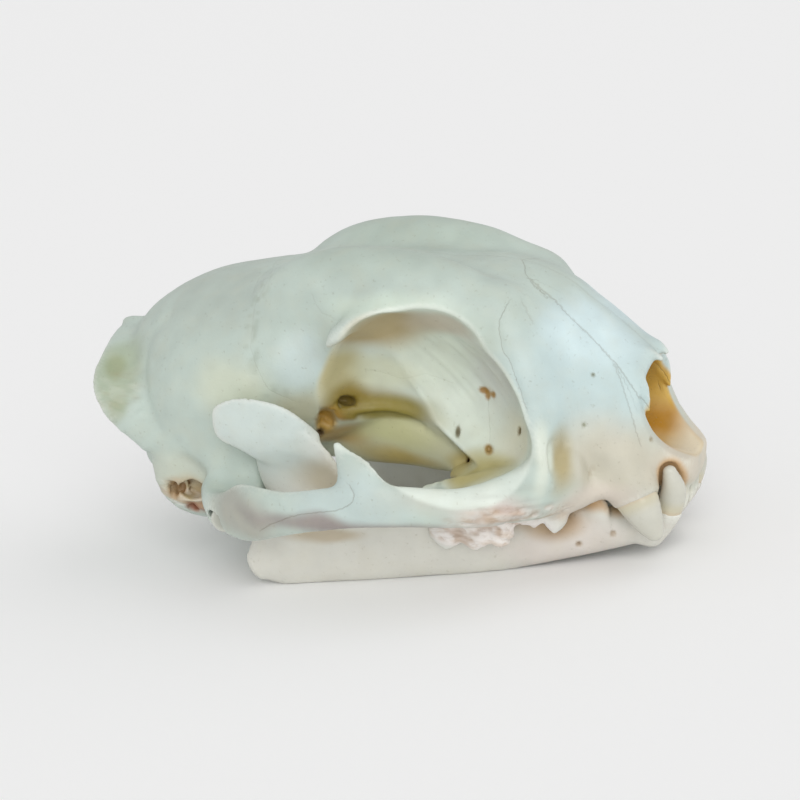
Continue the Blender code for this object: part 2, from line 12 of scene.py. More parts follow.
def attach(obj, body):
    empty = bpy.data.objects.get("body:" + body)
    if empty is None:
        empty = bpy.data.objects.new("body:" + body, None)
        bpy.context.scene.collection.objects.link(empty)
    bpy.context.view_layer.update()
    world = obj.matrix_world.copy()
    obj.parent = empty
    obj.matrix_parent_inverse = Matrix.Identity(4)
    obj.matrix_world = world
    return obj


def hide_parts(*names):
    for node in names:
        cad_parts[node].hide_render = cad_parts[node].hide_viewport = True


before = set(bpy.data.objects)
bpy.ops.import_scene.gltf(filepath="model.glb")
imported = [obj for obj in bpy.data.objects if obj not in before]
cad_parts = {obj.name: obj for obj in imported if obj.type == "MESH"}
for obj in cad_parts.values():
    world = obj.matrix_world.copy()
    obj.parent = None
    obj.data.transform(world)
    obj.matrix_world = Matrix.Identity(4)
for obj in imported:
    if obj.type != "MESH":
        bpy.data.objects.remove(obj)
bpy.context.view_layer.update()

MM = 0.001
STEP = 0.4          # spacing of the samples that the bone is built from
GAP = 0.3           # clearance between nodes that touch
BITE = 0.6          # clearance between the upper and lower jaw
FAR = 12.0          # value of a sample with nothing near it
MARGIN = 4.0        # how far past its soft edge a shape still changes the samples
END_BLEND = 3.0     # rounding of the ends of a hull
NOISE_SIZE = 32     # samples along each side of a noise's table
ALONG = (1, 0, 0)   # direction of a bar's half height, where it isn't upright

# Driving dimensions, in the skull's own frame
REAR_X = -58.8      # nuchal crest
FRONT_X = 59.2      # front of the premaxilla
PALATE_Z = 19.5     # gum line of the upper canines
ARCH_Y = 41.0       # middle of the zygomatic arch at its widest
BRAIN_Y = 25.5      # half the breadth of the braincase
BROW_Z = 61.7       # top of the swellings over the orbits
CONDYLE = (-23.5, 28.0, 11.8)       # middle of the jaw joint
PITCH = 6.8         # degrees that the palate slopes down to the front when the skull stands
FLOOR = (-15.0, -1.9)               # x and z of the floor below the angle of the jaw
MIDDLE = (0.2, 28.2)                # x and z of a point half way along the standing skull


# Distance fields: each gives its lowest corner, its highest corner and a function of x, y, z

def turned(degrees):
    """Rotation matrix from three angles about x, y and z."""
    rx, ry, rz = np.radians(degrees)
    about_x = np.array([[1, 0, 0], [0, math.cos(rx), -math.sin(rx)], [0, math.sin(rx), math.cos(rx)]])
    about_y = np.array([[math.cos(ry), 0, math.sin(ry)], [0, 1, 0], [-math.sin(ry), 0, math.cos(ry)]])
    about_z = np.array([[math.cos(rz), -math.sin(rz), 0], [math.sin(rz), math.cos(rz), 0], [0, 0, 1]])
    return about_z @ about_y @ about_x


def ellipsoid(centre, radii, degrees=(0, 0, 0)):
    """Ellipsoid turned about its centre."""
    matrix = turned(degrees)
    radii = np.array(radii, dtype=float)
    reach = np.sqrt((matrix ** 2) @ (radii ** 2))

    def distance(x, y, z):
        offset = (x - centre[0], y - centre[1], z - centre[2])
        near = 0.0
        slope = 0.0
        for axis in range(3):
            local = sum(matrix[i, axis] * offset[i] for i in range(3))
            near = near + (local / radii[axis]) ** 2
            slope = slope + (local / radii[axis] ** 2) ** 2
        near = np.sqrt(near)
        return near * (near - 1.0) / np.sqrt(slope + 1e-9)

    return np.array(centre) - reach, np.array(centre) + reach, distance


def smooth_path(points, pieces):
    """Points along a smooth curve through the given rows, all columns alike."""
    rows = np.array(points, dtype=float)
    ends = np.vstack([2 * rows[0] - rows[1], rows, 2 * rows[-1] - rows[-2]])
    path = []
    for i in range(1, len(ends) - 2):
        for t in np.arange(pieces) / pieces:
            a, b, c, d = ends[i - 1:i + 3]
            path.append(0.5 * (2 * b + (c - a) * t + (2 * a - 5 * b + 4 * c - d) * t ** 2
                               + (3 * b - a - 3 * c + d) * t ** 3))
    path.append(rows[-1])
    return np.array(path)


def strap(points, up=(0, 0, 1), pieces=3):
    """Bar along a curve; each point is x, y, z, half height along up, half thickness."""
    path = smooth_path(points, pieces)
    path[:, 3:5] = np.maximum(path[:, 3:5], 0.25)
    up = np.array(up, dtype=float)
    reach = path[:, 3:5].max(axis=1)[:, None]
    low = (path[:, :3] - reach).min(axis=0)
    high = (path[:, :3] + reach).max(axis=0)

    def distance(x, y, z):
        best = None
        for a, b in zip(path[:-1], path[1:]):
            run = b[:3] - a[:3]
            length = np.linalg.norm(run)
            along = run / length
            tall = up - along * up.dot(along)
            tall = tall / np.linalg.norm(tall)
            side = np.cross(along, tall)
            offset = (x - a[0], y - a[1], z - a[2])
            t = sum(along[i] * offset[i] for i in range(3))
            part = np.clip(t / length, 0.0, 1.0)
            height = a[3] + (b[3] - a[3]) * part
            thick = a[4] + (b[4] - a[4]) * part
            u = sum(tall[i] * offset[i] for i in range(3))
            s = sum(side[i] * offset[i] for i in range(3))
            w = t - part * length
            near = np.sqrt((u / height) ** 2 + (s ** 2 + w ** 2) / thick ** 2)
            slope = np.sqrt((u / height ** 2) ** 2 + (s ** 2 + w ** 2) / thick ** 4 + 1e-9)
            value = near * (near - 1.0) / slope
            best = value if best is None else np.minimum(best, value)
        return best

    return low, high, distance


def hull(stations, power):
    """Body along x from rows of x, half width, top, bottom and flare, which widens it downwards."""
    rows = np.array(stations, dtype=float)
    wide = (rows[:, 1] * (1 + np.abs(rows[:, 4]))).max()
    low = np.array([rows[0, 0], -wide, rows[:, 3].min()])
    high = np.array([rows[-1, 0], wide, rows[:, 2].max()])
    path = smooth_path(rows, 6)
    centre = (rows[0, 0] + rows[-1, 0]) / 2
    reach = (rows[-1, 0] - rows[0, 0]) / 2

    def distance(x, y, z):
        place = np.clip(x, rows[0, 0], rows[-1, 0])
        half, top, bottom, flare = (np.interp(place, path[:, 0], path[:, c]) for c in range(1, 5))
        middle = (top + bottom) / 2
        tall = (top - bottom) / 2
        width = half * (1 + flare * np.clip((middle - z) / tall, -1.2, 1.2))
        a = np.abs(y) / width + 1e-6
        b = np.abs(z - middle) / tall + 1e-6
        near = (a ** power + b ** power) ** (1 / power)
        steep = np.sqrt((a ** (power - 1) / width) ** 2 + (b ** (power - 1) / tall) ** 2)
        slope = near ** (1 - power) * steep
        side = (near - 1.0) / np.maximum(slope, 0.5 / (width + tall))
        return -softer(-side, -(np.abs(x - centre) - reach), END_BLEND)

    return low, high, distance


def slab(point, direction):
    """Half space behind a plane through a point, facing the given direction."""
    normal = np.array(direction, dtype=float)
    normal = normal / np.linalg.norm(normal)

    def distance(x, y, z):
        return normal[0] * (x - point[0]) + normal[1] * (y - point[1]) + normal[2] * (z - point[2])

    return None, None, distance


def grown(shape, clearance):
    """The same form, larger all round."""
    low, high, distance = shape
    return low - clearance, high + clearance, lambda x, y, z: distance(x, y, z) - clearance


def softer(old, new, blend):
    """The lesser of two fields, with a rounded change between them."""
    width = max(blend, 1e-3)
    h = np.clip(0.5 + 0.5 * (old - new) / width, 0.0, 1.0)
    return old + (new - old) * h - width * h * (1 - h)


class Volume:
    """A block of space sampled on a grid, with the distance to the surface at each sample."""

    def __init__(self, low, high, step=STEP):
        self.step = step
        self.low = np.array(low, dtype=float)
        counts = np.ceil((np.array(high) - self.low) / step).astype(int) + 1
        self.axes = [self.low[i] + step * np.arange(counts[i]) for i in range(3)]
        self.value = np.full(counts, FAR, dtype=np.float32)

    def window(self, low, high):
        """Slices of the samples between two corners, and their x, y and z."""
        if low is None:
            cuts = tuple(slice(0, len(axis)) for axis in self.axes)
        else:
            cuts = tuple(slice(int(np.searchsorted(axis, low[i])), int(np.searchsorted(axis, high[i])))
                         for i, axis in enumerate(self.axes))
        x, y, z = (axis[cut] for axis, cut in zip(self.axes, cuts))
        return cuts, x[:, None, None], y[None, :, None], z[None, None, :]

    def mix(self, shape, blend, sign):
        """Join (sign 1) or cut away (sign -1) a shape, with a soft edge blend wide."""
        low, high, distance = shape
        if low is not None:
            margin = blend + MARGIN
            low = low - margin
            high = high + margin
        cuts, x, y, z = self.window(low, high)
        self.value[cuts] = sign * softer(sign * self.value[cuts], distance(x, y, z), blend)

    def join(self, shape, blend):
        """Add a shape."""
        self.mix(shape, blend, 1)

    def cut(self, shape, blend):
        """Take a shape away."""
        self.mix(shape, blend, -1)

    def keep(self, shape, inset=0.0):
        """Keep only what lies inside a shape, drawn in by inset."""
        x, y, z = self.window(None, None)[1:]
        self.value = np.maximum(self.value, shape[2](x, y, z) + inset)


def bar(side, points, up=(0, 0, 1), pieces=3):
    """Bar with its points given for the left side, turned to side -1 right or 1 left."""
    return strap([(x, side * y, z, height, thick) for x, y, z, height, thick in points], up, pieces)


def bulge(side, centre, radii, degrees=(0, 0, 0)):
    """Ellipsoid given for the left side, turned to one side."""
    (x, y, z), (about_x, about_y, about_z) = centre, degrees
    return ellipsoid((x, side * y, z), radii, (about_x, about_y, side * about_z))


def bars(action, points, blend, up=(0, 0, 1), pieces=3):
    """Join or cut a bar on both sides."""
    for side in (-1, 1):
        action(bar(side, points, up, pieces), blend)


def bulges(action, centre, radii, blend, degrees=(0, 0, 0)):
    """Join or cut an ellipsoid on both sides."""
    for side in (-1, 1):
        action(bulge(side, centre, radii, degrees), blend)


# The forms of the cranium

def braincase(volume):
    """The domed box of the brain, with the occiput sloping in below the nuchal crest."""
    volume.join(hull([(-57, 6.5, 36.0, 20, 0.0), (-50, 15.5, 44.2, 14, 0.16), (-40, 23.0, 50.2, 12.5, 0.18),
                      (-30, BRAIN_Y - 0.4, 52.9, 14.5, 0.14), (-20, BRAIN_Y - 1, 54.8, 16, 0.04),
                      (-10, 20.5, 56.0, 20, 0.0), (0, 15.5, 56.8, 24, 0.0), (8, 13.0, 57.0, 27, 0.0)],
                     power=2.2), 0.5)
    volume.cut(slab((REAR_X + 3.8, 0, 38), (0.93, 0, 0.36)), 4.0)
    bulges(volume.cut, (-54, 25, 18), (13, 11, 9), 4.0, (0, 0, 30))


def frontal(volume):
    """Two swellings over the orbits with a valley between, and the postorbital processes."""
    volume.join(hull([(-18, 15, 55.4, 36, 0), (-4, 16, 56.0, 33, 0), (10, 16, 56.4, 31, 0),
                      (22, 14.0, 56.4, 30, 0.1), (34, 11, 53.8, 26, 0.2)], power=2.5), 3.0)
    bulges(volume.join, (2.2, 13.2, BROW_Z - 12), (25.5, 9, 12), 3.5)
    bars(volume.join, [(12, 15, 53, 3.5, 5), (5, 20.5, 52, 2.8, 4.4), (1, 24.2, 50.2, 2.2, 3.4),
                       (-2.0, 25.8, 48.4, 1.6, 2.2), (-3.6, 25.8, 46.6, 0.9, 1.3)], 3.5)


def muzzle(volume):
    """Nasal bones and maxillae, wide at the tooth row, with the canine roots showing."""
    volume.join(hull([(0, 12, 56, 27, 0.0), (12, 15, 57.5, 24, 0.2), (22, 19.6, 58.2, 19.5, 0.32),
                      (30, 20.4, 56.4, 19, 0.31), (38, 18.0, 52.2, 18.5, 0.33), (46, 14.0, 46.6, 18.5, 0.26),
                      (52, 11.8, 41.4, 18.5, 0.1), (56, 9.8, 35.0, 18.3, 0.0),
                      (FRONT_X, 8.0, 30.0, 18.3, 0.0)], power=2.5), 4.0)
    bars(volume.join, [(50.0, 12.5, 20, 4.0, 4.0), (46, 12.5, 28, 4.0, 3.6),
                       (41, 11.5, 36, 3.0, 3.0)], 4.0, ALONG)


NOSTRIL = ((66, 0, 32, 7.0, 8.0), (55, 0, 32.2, 6.8, 8.2), (48, 0, 34.4, 7.2, 8.0), (40, 0, 36, 7.0, 7.5),
           (32, 0, 37, 6.0, 6.5))


def nasal_opening(volume):
    """The bony nostril, its rim curving back up to the nasal bones, each with a downward spine."""
    volume.cut(strap([(64.0, -24, 38.5, 14.2, 14.2), (64.0, 24, 38.5, 14.2, 14.2)]), 0.8)
    volume.cut(strap(NOSTRIL), 1.2)
    bars(volume.join, [(47.4, 7.4, 41.5, 1.2, 0.9), (49.4, 8.3, 38.5, 1.5, 0.8),
                       (51.0, 8.2, 34.6, 0.4, 0.5)], 0.8, ALONG)


def cheeks(volume):
    """The maxillae widening back to the front rims of the orbits."""
    bars(volume.join, [(25, 13.5, 51, 4.0, 4.0), (29.5, 17.2, 43, 4.0, 3.6),
                       (33.0, 20.0, 35, 4.0, 3.6)], 6.5, ALONG)
    bars(volume.join, [(32.6, 20.4, 35, 4.0, 3.6), (33.2, 23.6, 28.5, 4.6, 4.0),
                       (31, 24.0, 21, 5.5, 3.0)], 3.0, ALONG)


# Hollows of the left orbit: centre, radii, turn, and the width of the soft edge
ORBIT = (((16.0, 28.0, 36.9), (20.3, 18.8, 12.7), (0, 39, 0), 0.8),
         ((13.6, 27.0, 43.2), (11.5, 13.5, 11.0), (0, 0, 0), 0.8),
         ((26.0, 31.0, 31.0), (9.0, 10.0, 6.0), (0, 0, 0), 2.0),
         ((4.0, 24.5, 31.5), (13.5, 13.0, 17.3), (0, 0, 8), 0.9))


def orbits(volume):
    """The eye sockets, longest down to the front, and open below behind the maxilla."""
    for centre, radii, degrees, blend in ORBIT:
        bulges(volume.cut, centre, radii, blend, degrees)


def maxillae(volume):
    """The shelf that carries the cheek teeth, the floor of the orbit over it, and the foramen in front."""
    bulges(volume.join, (27, 23.5, 20.3), (8.5, 9.5, 4.4), 2.0, (0, -16, 0))
    bars(volume.join, [(43, 15.0, 21.0, 2.6, 3.0), (36, 19.0, 19.0, 3.6, 3.0), (28, 22.4, 18.2, 4.4, 2.8),
                       (20, 23.6, 18.0, 4.6, 2.6), (14, 22.5, 17.6, 2.6, 2.0)], 2.5)
    bulges(volume.cut, (41.0, 26.5, 29.0), (4.2, 8.0, 4.8), 0.5, (0, 0, -20))
    bars(volume.cut, [(39.4, 23.5, 29.2, 2.8, 1.5), (35.0, 19.0, 29.4, 2.0, 1.2)], 0.4)


def arches(volume):
    """The zygomatic arches, from the maxilla round to the temporal root, and the jaw joint's roof."""
    bars(volume.join, [(39, 19, 23.6, 5.6, 3.4), (35.2, 24, 22.8, 5.4, 3.6), (30.5, 29.2, 21.8, 4.3, 3.2),
                       (23, 34.8, 21.2, 3.6, 2.3), (14, 38.5, 21.6, 3.8, 1.9), (4, 40.3, 20.8, 3.9, 1.8),
                       (-7, ARCH_Y - 1, 18.2, 4.0, 1.7), (-16.5, 36.6, 15.8, 5.4, 1.8),
                       (-23, 32.4, 14.2, 4.2, 2.0), (-27.5, 26.5, 14.6, 3.4, 2.6)], 2.0, pieces=4)
    bars(volume.join, [(7.0, 39.2, 23.5, 5.4, 1.6), (5.4, 38.7, 27, 3.4, 1.4), (3.0, 37.8, 29.6, 1.5, 1.1),
                       (1.8, 37.2, 31.0, 0.7, 0.8)], 1.5, ALONG)
    bars(volume.join, [(-22, 12, 18, 4.0, 6.0), (-22.5, 22, 17.5, 3.6, 6.0),
                       (-24, 29, 15.5, 3.0, 4.0)], 3.0)
    bars(volume.join, [(-29.0, 21, 13.0, 3.6, 1.6), (-27.8, 27, 11.4, 3.3, 1.3)], 1.5)


def base(volume):
    """Ear bullae, mastoids, occipital condyles and the crest round the occiput."""
    bulges(volume.join, (-34.4, 14.5, 14.0), (10.2, 8.5, 8.8), 1.5, (0, 0, -12))
    bars(volume.join, [(-41, 20.0, 24, 4.6, 3.0), (-39.2, 20.6, 15.0, 3.2, 2.4),
                       (-37.6, 19.5, 11.0, 2.2, 2.0)], 2.5)
    bulges(volume.join, (-47.0, 7.4, 15.5), (4.4, 3.8, 5.2), 1.5, (0, 12, 18))
    crest = [(-43, 22.2, 22, 2.4, 1.4), (-48.2, 21.4, 27, 3.8, 1.4), (-52.0, 17.5, 31.5, 4.8, 1.3),
             (-53.4, 11, 35.2, 4.4, 1.2), (-54.2, 5.5, 37.0, 4.2, 1.2), (-54.6, 0, 37.6, 4.2, 1.2)]
    bars(volume.join, crest, 2.5, (1, 0, -0.12))
    volume.cut(strap([(-60, 0, 20.5, 5.2, 6.6), (-48, 0, 21, 5.2, 6.4), (-40, 0, 23, 4.0, 5.0)]), 1.0)
    bars(volume.cut, [(-33.4, 30, 12.6, 2.0, 2.7), (-34.8, 18, 13.4, 1.9, 2.4)], 0.6)


def wings(volume):
    """The palatine and pterygoid plates behind the palate, with the throat between them."""
    bars(volume.join, [(16, 8.5, 24, 6.5, 4.0), (6, 7.6, 24.5, 6.5, 3.6), (-4, 7.2, 23.5, 6.0, 3.0),
                       (-12, 7.5, 21.5, 4.0, 1.6)], 1.5)
    volume.cut(strap([(14, 0, 24, 3.4, 4.4), (4, 0, 22, 4.5, 5.6), (-8, 0, 19.5, 4.5, 5.6),
                      (-18, 0, 16, 3.0, 5.0)]), 1.5)


def palate(volume):
    """The vaulted roof of the mouth, closed at the back by bars under the floor of the orbits."""
    volume.cut(ellipsoid((32, 0, 16.5), (24, 14.5, 4.6)), 2.5)
    bars(volume.join, [(30, 18.0, 21.4, 1.8, 6.0), (23, 14.0, 20.8, 2.0, 7.0),
                       (19.0, 11.5, 19.6, 2.0, 4.2)], 1.5)


# Teeth: x, y and z of each cusp's tip, its half length and its half thickness
UPPER_CUSPS = ((41.0, 17.2, 17.6, 1.4, 1.3), (37.0, 19.4, 12.8, 2.3, 1.9), (33.4, 20.6, 13.8, 2.2, 1.7),
               (27.6, 22.8, 9.9, 2.6, 2.0), (23.0, 23.3, 9.0, 3.4, 2.0), (17.6, 23.2, 8.4, 3.4, 1.9),
               (15.0, 20.5, 12.6, 1.5, 1.8))
LOWER_CUSPS = ((42.8, 12.6, 19.9, 2.7, 1.3), (39.4, 13.4, 16.6, 1.8, 1.2), (34.8, 15.0, 17.4, 1.8, 1.6),
               (31.8, 15.8, 20.0, 2.6, 1.8), (28.6, 16.6, 17.8, 1.8, 1.6), (23.8, 18.2, 19.6, 2.8, 1.6),
               (18.6, 19.2, 20.0, 2.9, 1.5))
UPPER_INCISORS = ((1.4, 1.1), (4.1, 1.25), (6.9, 1.7))      # y and half width of each
LOWER_INCISORS = ((1.3, 0.8), (3.3, 0.9), (5.4, 1.0))
JAW_FRONT_X = 56.8      # the first lower incisor
JAW_ROOT_Z = 12         # roots of the lower cheek teeth
TOOTH_BLEND = 0.7       # rounding where a cheek tooth leaves the bone
PEG_BLEND = 0.5         # the same for an incisor
UPPER_CANINE = ((46.0, 12.6, 25, 4.2, 3.5), (50.4, 13.8, 19.6, 4.0, 3.3), (53.0, 14.6, 15.8, 2.9, 2.5),
                (54.5, 14.8, 13.4, 1.7, 1.5))
LOWER_CANINE = ((52.0, 7.4, 10.5, 2.8, 2.6), (55.3, 8.4, 15.5, 2.5, 2.4), (56.4, 9.2, 20.0, 2.3, 2.0),
                (55.7, 9.8, 23.6, 1.3, 1.2))
UPPER_GUM = ((50.4, 13.8, 19.3), (0.5, 0.1, -0.87))     # point and direction of the cut at the gum
LOWER_GUM = ((55.4, 8.5, 16.0), (0.2, 0.15, 0.97))


def cusp(x, y, root_z, tip_z, length, thick):
    """Points of one cusp of a cheek tooth, a blade that narrows to its tip."""
    return [(x, y, root_z, length, thick), (x, y, (root_z + tip_z) / 2, length, thick),
            (x, y, tip_z, length * 0.3, thick * 0.4)]


def upper_teeth(volume):
    """Premolars, carnassial, the little molar and the row of incisors."""
    for x, y, z, length, thick in UPPER_CUSPS:
        bars(volume.join, cusp(x, y, min(PALATE_Z, z + 5), z + BITE, length, thick), TOOTH_BLEND, ALONG)
    for i, (y, size) in enumerate(UPPER_INCISORS):
        x = FRONT_X - 1.6 - 0.03 * y ** 2
        bars(volume.join, [(x - 1, y, 21, size, size), (x, y, 18, size, size),
                           (x + 0.2, y, 15.8 - 0.5 * i, size * 0.5, size * 0.6)], PEG_BLEND, ALONG)


def crown(points, side):
    """The form of a canine from its root to its tip."""
    return bar(side, points, ALONG, pieces=4)


def gum(cut, side):
    """The plane at a canine's gum, facing away from the crown."""
    (px, py, pz), (dx, dy, dz) = cut
    return slab((px, side * py, pz), (-dx, -side * dy, -dz))


def cranium():
    """The whole cranium with the teeth that are fused with it, without the canines."""
    volume = Volume((REAR_X - 4, -47, 3), (FRONT_X + 5, 47, BROW_Z + 5))
    for region in (braincase, frontal, muzzle, cheeks, orbits, maxillae, wings, palate, arches, base,
                   nasal_opening, upper_teeth):
        region(volume)
    return volume


# The lower jaw

BODY = ((54.2, 3.0, 15.4, 2.6, 2.6), (52.6, 4.4, 13.6, 4.0, 3.3), (49, 7.2, 12.2, 4.0, 3.6),
        (45, 9.8, 11.3, 4.0, 3.5), (36, 13.4, 9.9, 4.7, 3.3), (26, 16.6, 9.4, 6.6, 3.1),
        (14, 20.0, 8.5, 7.3, 3.0), (2, 23.0, 7.6, 7.8, 2.8), (-8, 25.2, 6.6, 8.0, 2.3),
        (-14.5, 26.6, 4.0, 6.7, 2.0), (-18.4, 27.2, 1.7, 3.3, 1.9))
RAMUS = ((-6, 25.2, 11, 9.5, 2.0), (-8.4, 26.4, 17.5, 8.6, 1.9), (-10.6, 27.5, 22.5, 8.0, 1.6),
         (-13, 28.4, 27, 6.2, 1.3))
CORONOID = ((-8.5, 27.6, 25.6, 4.4, 1.4), (-14, 28.8, 28.6, 5.7, 1.3), (-19.5, 29.8, 30.3, 5.1, 1.1),
            (-23.4, 30.0, 30.2, 4.0, 1.0), (-24.9, 30.0, 30.0, 3.0, 0.9))
NECK = ((-12, 26.6, 11, 4.6, 2.0), (-18, 27.4, 11.6, 3.4, 2.2), (-22, 28.0, 11.8, 2.4, 2.4))


def half_jaw(side):
    """One half of the lower jaw with its cheek teeth, side -1 right or 1 left."""
    volume = Volume((-34, min(0, side * 40), -4), (FRONT_X + 4, max(0, side * 40), 42))
    volume.join(bar(side, BODY, pieces=4), 1.0)
    volume.join(bar(side, RAMUS, ALONG), 3.0)
    volume.join(bar(side, CORONOID), 2.0)
    volume.join(bar(side, NECK), 2.0)
    x, y, z = CONDYLE
    volume.join(bar(side, [(x, y - 7.0, z - 0.4, 2.4, 2.4), (x, y, z, 2.8, 2.8),
                           (x, y + 4.5, z, 2.3, 2.3)]), 1.5)
    volume.cut(bulge(side, (-8.5, 30.6, 17.5), (10.5, 3.5, 7.0), (0, 20, -12)), 2.0)
    for x, y, z, length, thick in LOWER_CUSPS:
        volume.join(bar(side, cusp(x, y, JAW_ROOT_Z, z - BITE, length, thick), ALONG), TOOTH_BLEND)
    for y, size in LOWER_INCISORS:
        x = JAW_FRONT_X - 0.04 * y ** 2
        peg = [(x - 0.8, y, 15, size, size), (x + 0.2, y, 18.6, size * 0.7, size * 0.8)]
        volume.join(bar(side, peg, ALONG), PEG_BLEND)
    tilt = math.radians(PITCH)
    volume.cut(slab((FLOOR[0], 0, FLOOR[1]), (-math.sin(tilt), 0, math.cos(tilt))), 0.2)
    volume.keep(slab((0, side * GAP / 2, 0), (0, -side, 0)))
    return volume


# From fields to meshes

def sample(volume, at):
    """Values of a field at the samples of another one, taken at the nearest sample."""
    index = [np.clip(np.round((axis - volume.low[i]) / volume.step).astype(int), 0, len(volume.axes[i]) - 1)
             for i, axis in enumerate(at)]
    return volume.value[np.ix_(*index)]


def stance():
    """The matrix from the skull's own frame to the object's, standing on the floor, in metres."""
    turn = Matrix.Rotation(math.radians(PITCH), 4, "Y")
    point = turn @ Matrix.Translation((FLOOR[0], 0, FLOOR[1])).to_translation()
    middle = turn @ Matrix.Translation((MIDDLE[0], 0, MIDDLE[1])).to_translation()
    return Matrix.Scale(MM, 4) @ Matrix.Translation((-middle.x, 0, -point.z)) @ turn


# Small openings on both sides: mouth, a point further in, half height, half thickness, depth and the colour
# of the painted shade inside
SKULL_HOLES = (
    ((-5.3, 14.4, 31.6), (-9.5, 7.5, 30.4), 1.2, 2.1, 1.3, (130, 110, 36)),     # optic canal
    ((-8.6, 16.6, 28.2), (-12.5, 10.0, 26.0), 2.5, 1.9, 1.2, (184, 144, 56)),   # orbital fissure
    ((-10.3, 15.9, 25.2), (-14.0, 11.0, 23.5), 0.8, 0.9, 1.5, (84, 62, 38)),    # round foramen
    ((22.8, 14.8, 25.5), (20.5, 9.5, 24.5), 0.80, 0.60, 0.6, (166, 134, 72)),   # sphenopalatine foramen
    ((18.1, 11.4, 21.6), (16.5, 7.5, 21.0), 0.75, 0.55, 0.9, (130, 96, 52)),
    ((16.3, 13.4, 27.8), (15.5, 9.5, 27.2), 1.0, 0.30, 0.8, (120, 112, 84)),
    ((20.1, 10.0, 35.2), (19.7, 7.6, 35.0), 0.50, 0.75, 0.5, (160, 116, 36)),   # break in the orbit's wall
    ((21.0, 10.2, 34.5), (20.6, 7.8, 34.3), 0.80, 0.40, 0.5, (160, 116, 36)),
    ((22.2, 10.5, 34.8), (21.8, 8.2, 34.6), 0.55, 0.35, 0.5, (160, 116, 36)),
    ((28.6, 15.0, 29.9), (31.5, 11.0, 29.0), 0.70, 0.45, 1.0, (150, 138, 104)),     # tear duct
    ((41.7, 13.1, 41.5), (40.5, 11.0, 41.0), 0.26, 0.26, 0.4, (150, 156, 140)),
    ((41.3, 17.1, 33.2), (40.0, 15.0, 33.0), 0.28, 0.28, 0.4, (168, 170, 150)),
    ((52.4, 11.4, 30.0), (51.0, 9.6, 29.5), 0.30, 0.30, 0.5, (160, 150, 126)),
    ((-37.9, 21.5, 12.6), (-36.5, 16.0, 13.0), 1.7, 1.2, 1.4, (174, 140, 98)),  # rest of the ear hole
    ((-34.8, 21.4, 8.9), (-34.5, 16.5, 9.5), 1.1, 1.2, 1.0, (150, 94, 66)),
    ((-17.5, 13.0, 14.5), (-17.5, 12.5, 21.0), 1.7, 1.1, 2.0, (150, 130, 92)),  # oval foramen
    ((30.0, 7.5, 20.0), (31.0, 7.3, 25.0), 0.9, 0.6, 1.2, (150, 130, 96)),      # palatine foramen
    ((51.5, 2.8, 18.0), (51.2, 2.8, 23.0), 2.0, 0.9, 2.2, (150, 124, 84)),      # incisive foramen
    ((-43.5, 9.8, 13.5), (-43.0, 9.2, 19.0), 1.8, 1.1, 2.0, (140, 118, 80)),    # jugular foramen
)
JAW_HOLES = (
    ((40.5, 15.2, 9.4), (39.0, 12.0, 9.4), 0.45, 0.5, 0.5, (184, 168, 148)),    # mental foramina
    ((46.4, 13.1, 11.4), (45.0, 10.2, 11.4), 0.45, 0.45, 0.5, (184, 168, 148)),
    ((-4.0, 20.5, 10.5), (-3.0, 24.6, 10.5), 1.1, 1.5, 1.0, (186, 166, 134)),   # mandibular foramen
)

# Sutures and cracks: points seen from the side (x and z) or from above (x and |y|), depth range, strength
SIDE_SEAMS = (
    (((26.7, 54.3), (25.7, 51.5), (26.0, 49.8), (26.8, 46.5), (28.4, 44.9), (29.2, 43.3), (32.5, 37.5)),
     15, 28, 0.8),
    (((28.8, 54.2), (29.6, 53.0), (30.8, 51.2)), 12, 20, 0.5),
    (((27.5, 56.6), (32.6, 53.6), (37.0, 50.0), (41.0, 46.7), (45.3, 42.7), (49.2, 38.1), (51.4, 34.6)),
     6, 13, 1.0),
    (((44.2, 43.7), (46.2, 40.4), (48.0, 36.6), (48.8, 34.7), (50.9, 29.5)), 8, 16, 0.8),
    (((-20.6, 54.0), (-22.5, 49.7), (-21.9, 47.0), (-21.2, 43.0), (-19.5, 39.5), (-17.4, 35.5),
      (-13.0, 33.0)), 12, 28, 0.30),
    (((-9.6, 53.6), (-8.7, 52.0), (-7.6, 50.7), (-5.2, 49.9)), 14, 26, 0.35),
    (((-12.0, 14.4), (-9.9, 15.9), (-7.6, 17.2), (-5.6, 18.3), (-3.6, 19.1), (0.3, 20.1), (3.0, 20.7),
      (4.6, 21.3), (5.7, 22.1), (6.4, 23.0), (6.5, 23.9), (6.1, 24.7), (5.3, 25.3)), 38, 46, 1.0),
    (((21.0, 33.8), (21.3, 31.5), (21.9, 29.0), (22.6, 26.6)), 6, 18, 0.45),
    (((-1.0, 38.0), (4.5, 36.4), (9.0, 37.6), (14.0, 35.8)), 4, 18, 0.25),
)
TOP_SEAMS = (
    (((24.0, 0.0), (25.2, 2.2), (26.4, 5.4), (29.0, 7.9), (31.5, 8.6)), 50, 64, 0.9),
    (((-24.0, 15.0), (-25.0, 10.0), (-24.2, 5.0), (-25.4, 0.0)), 48, 64, 0.35),
)
MIDLINE = (-25.4, 52.0, 33, 64, 0.6)    # x range, z range and strength of the suture along the roof
FLECKED = 4             # the seam of the side that shows as a band of flecks
NO_SEAM = 9.0           # distance where there is no suture
SEAM_REACH = 1.2        # greatest distance that is stored

# Wide creases: points seen from the side, depth range, half width and depth of the groove
CREASES = (
    (((-42.7, 44.5), (-46.0, 40.6), (-46.7, 37.9), (-45.7, 33.1), (-44.0, 29.6), (-41.7, 26.7),
      (-39.9, 24.8)), 8, 28, 1.3, 0.35),
    (((37.6, 26.0), (37.9, 29.5), (37.2, 32.5)), 16, 28, 0.9, 0.30),
)


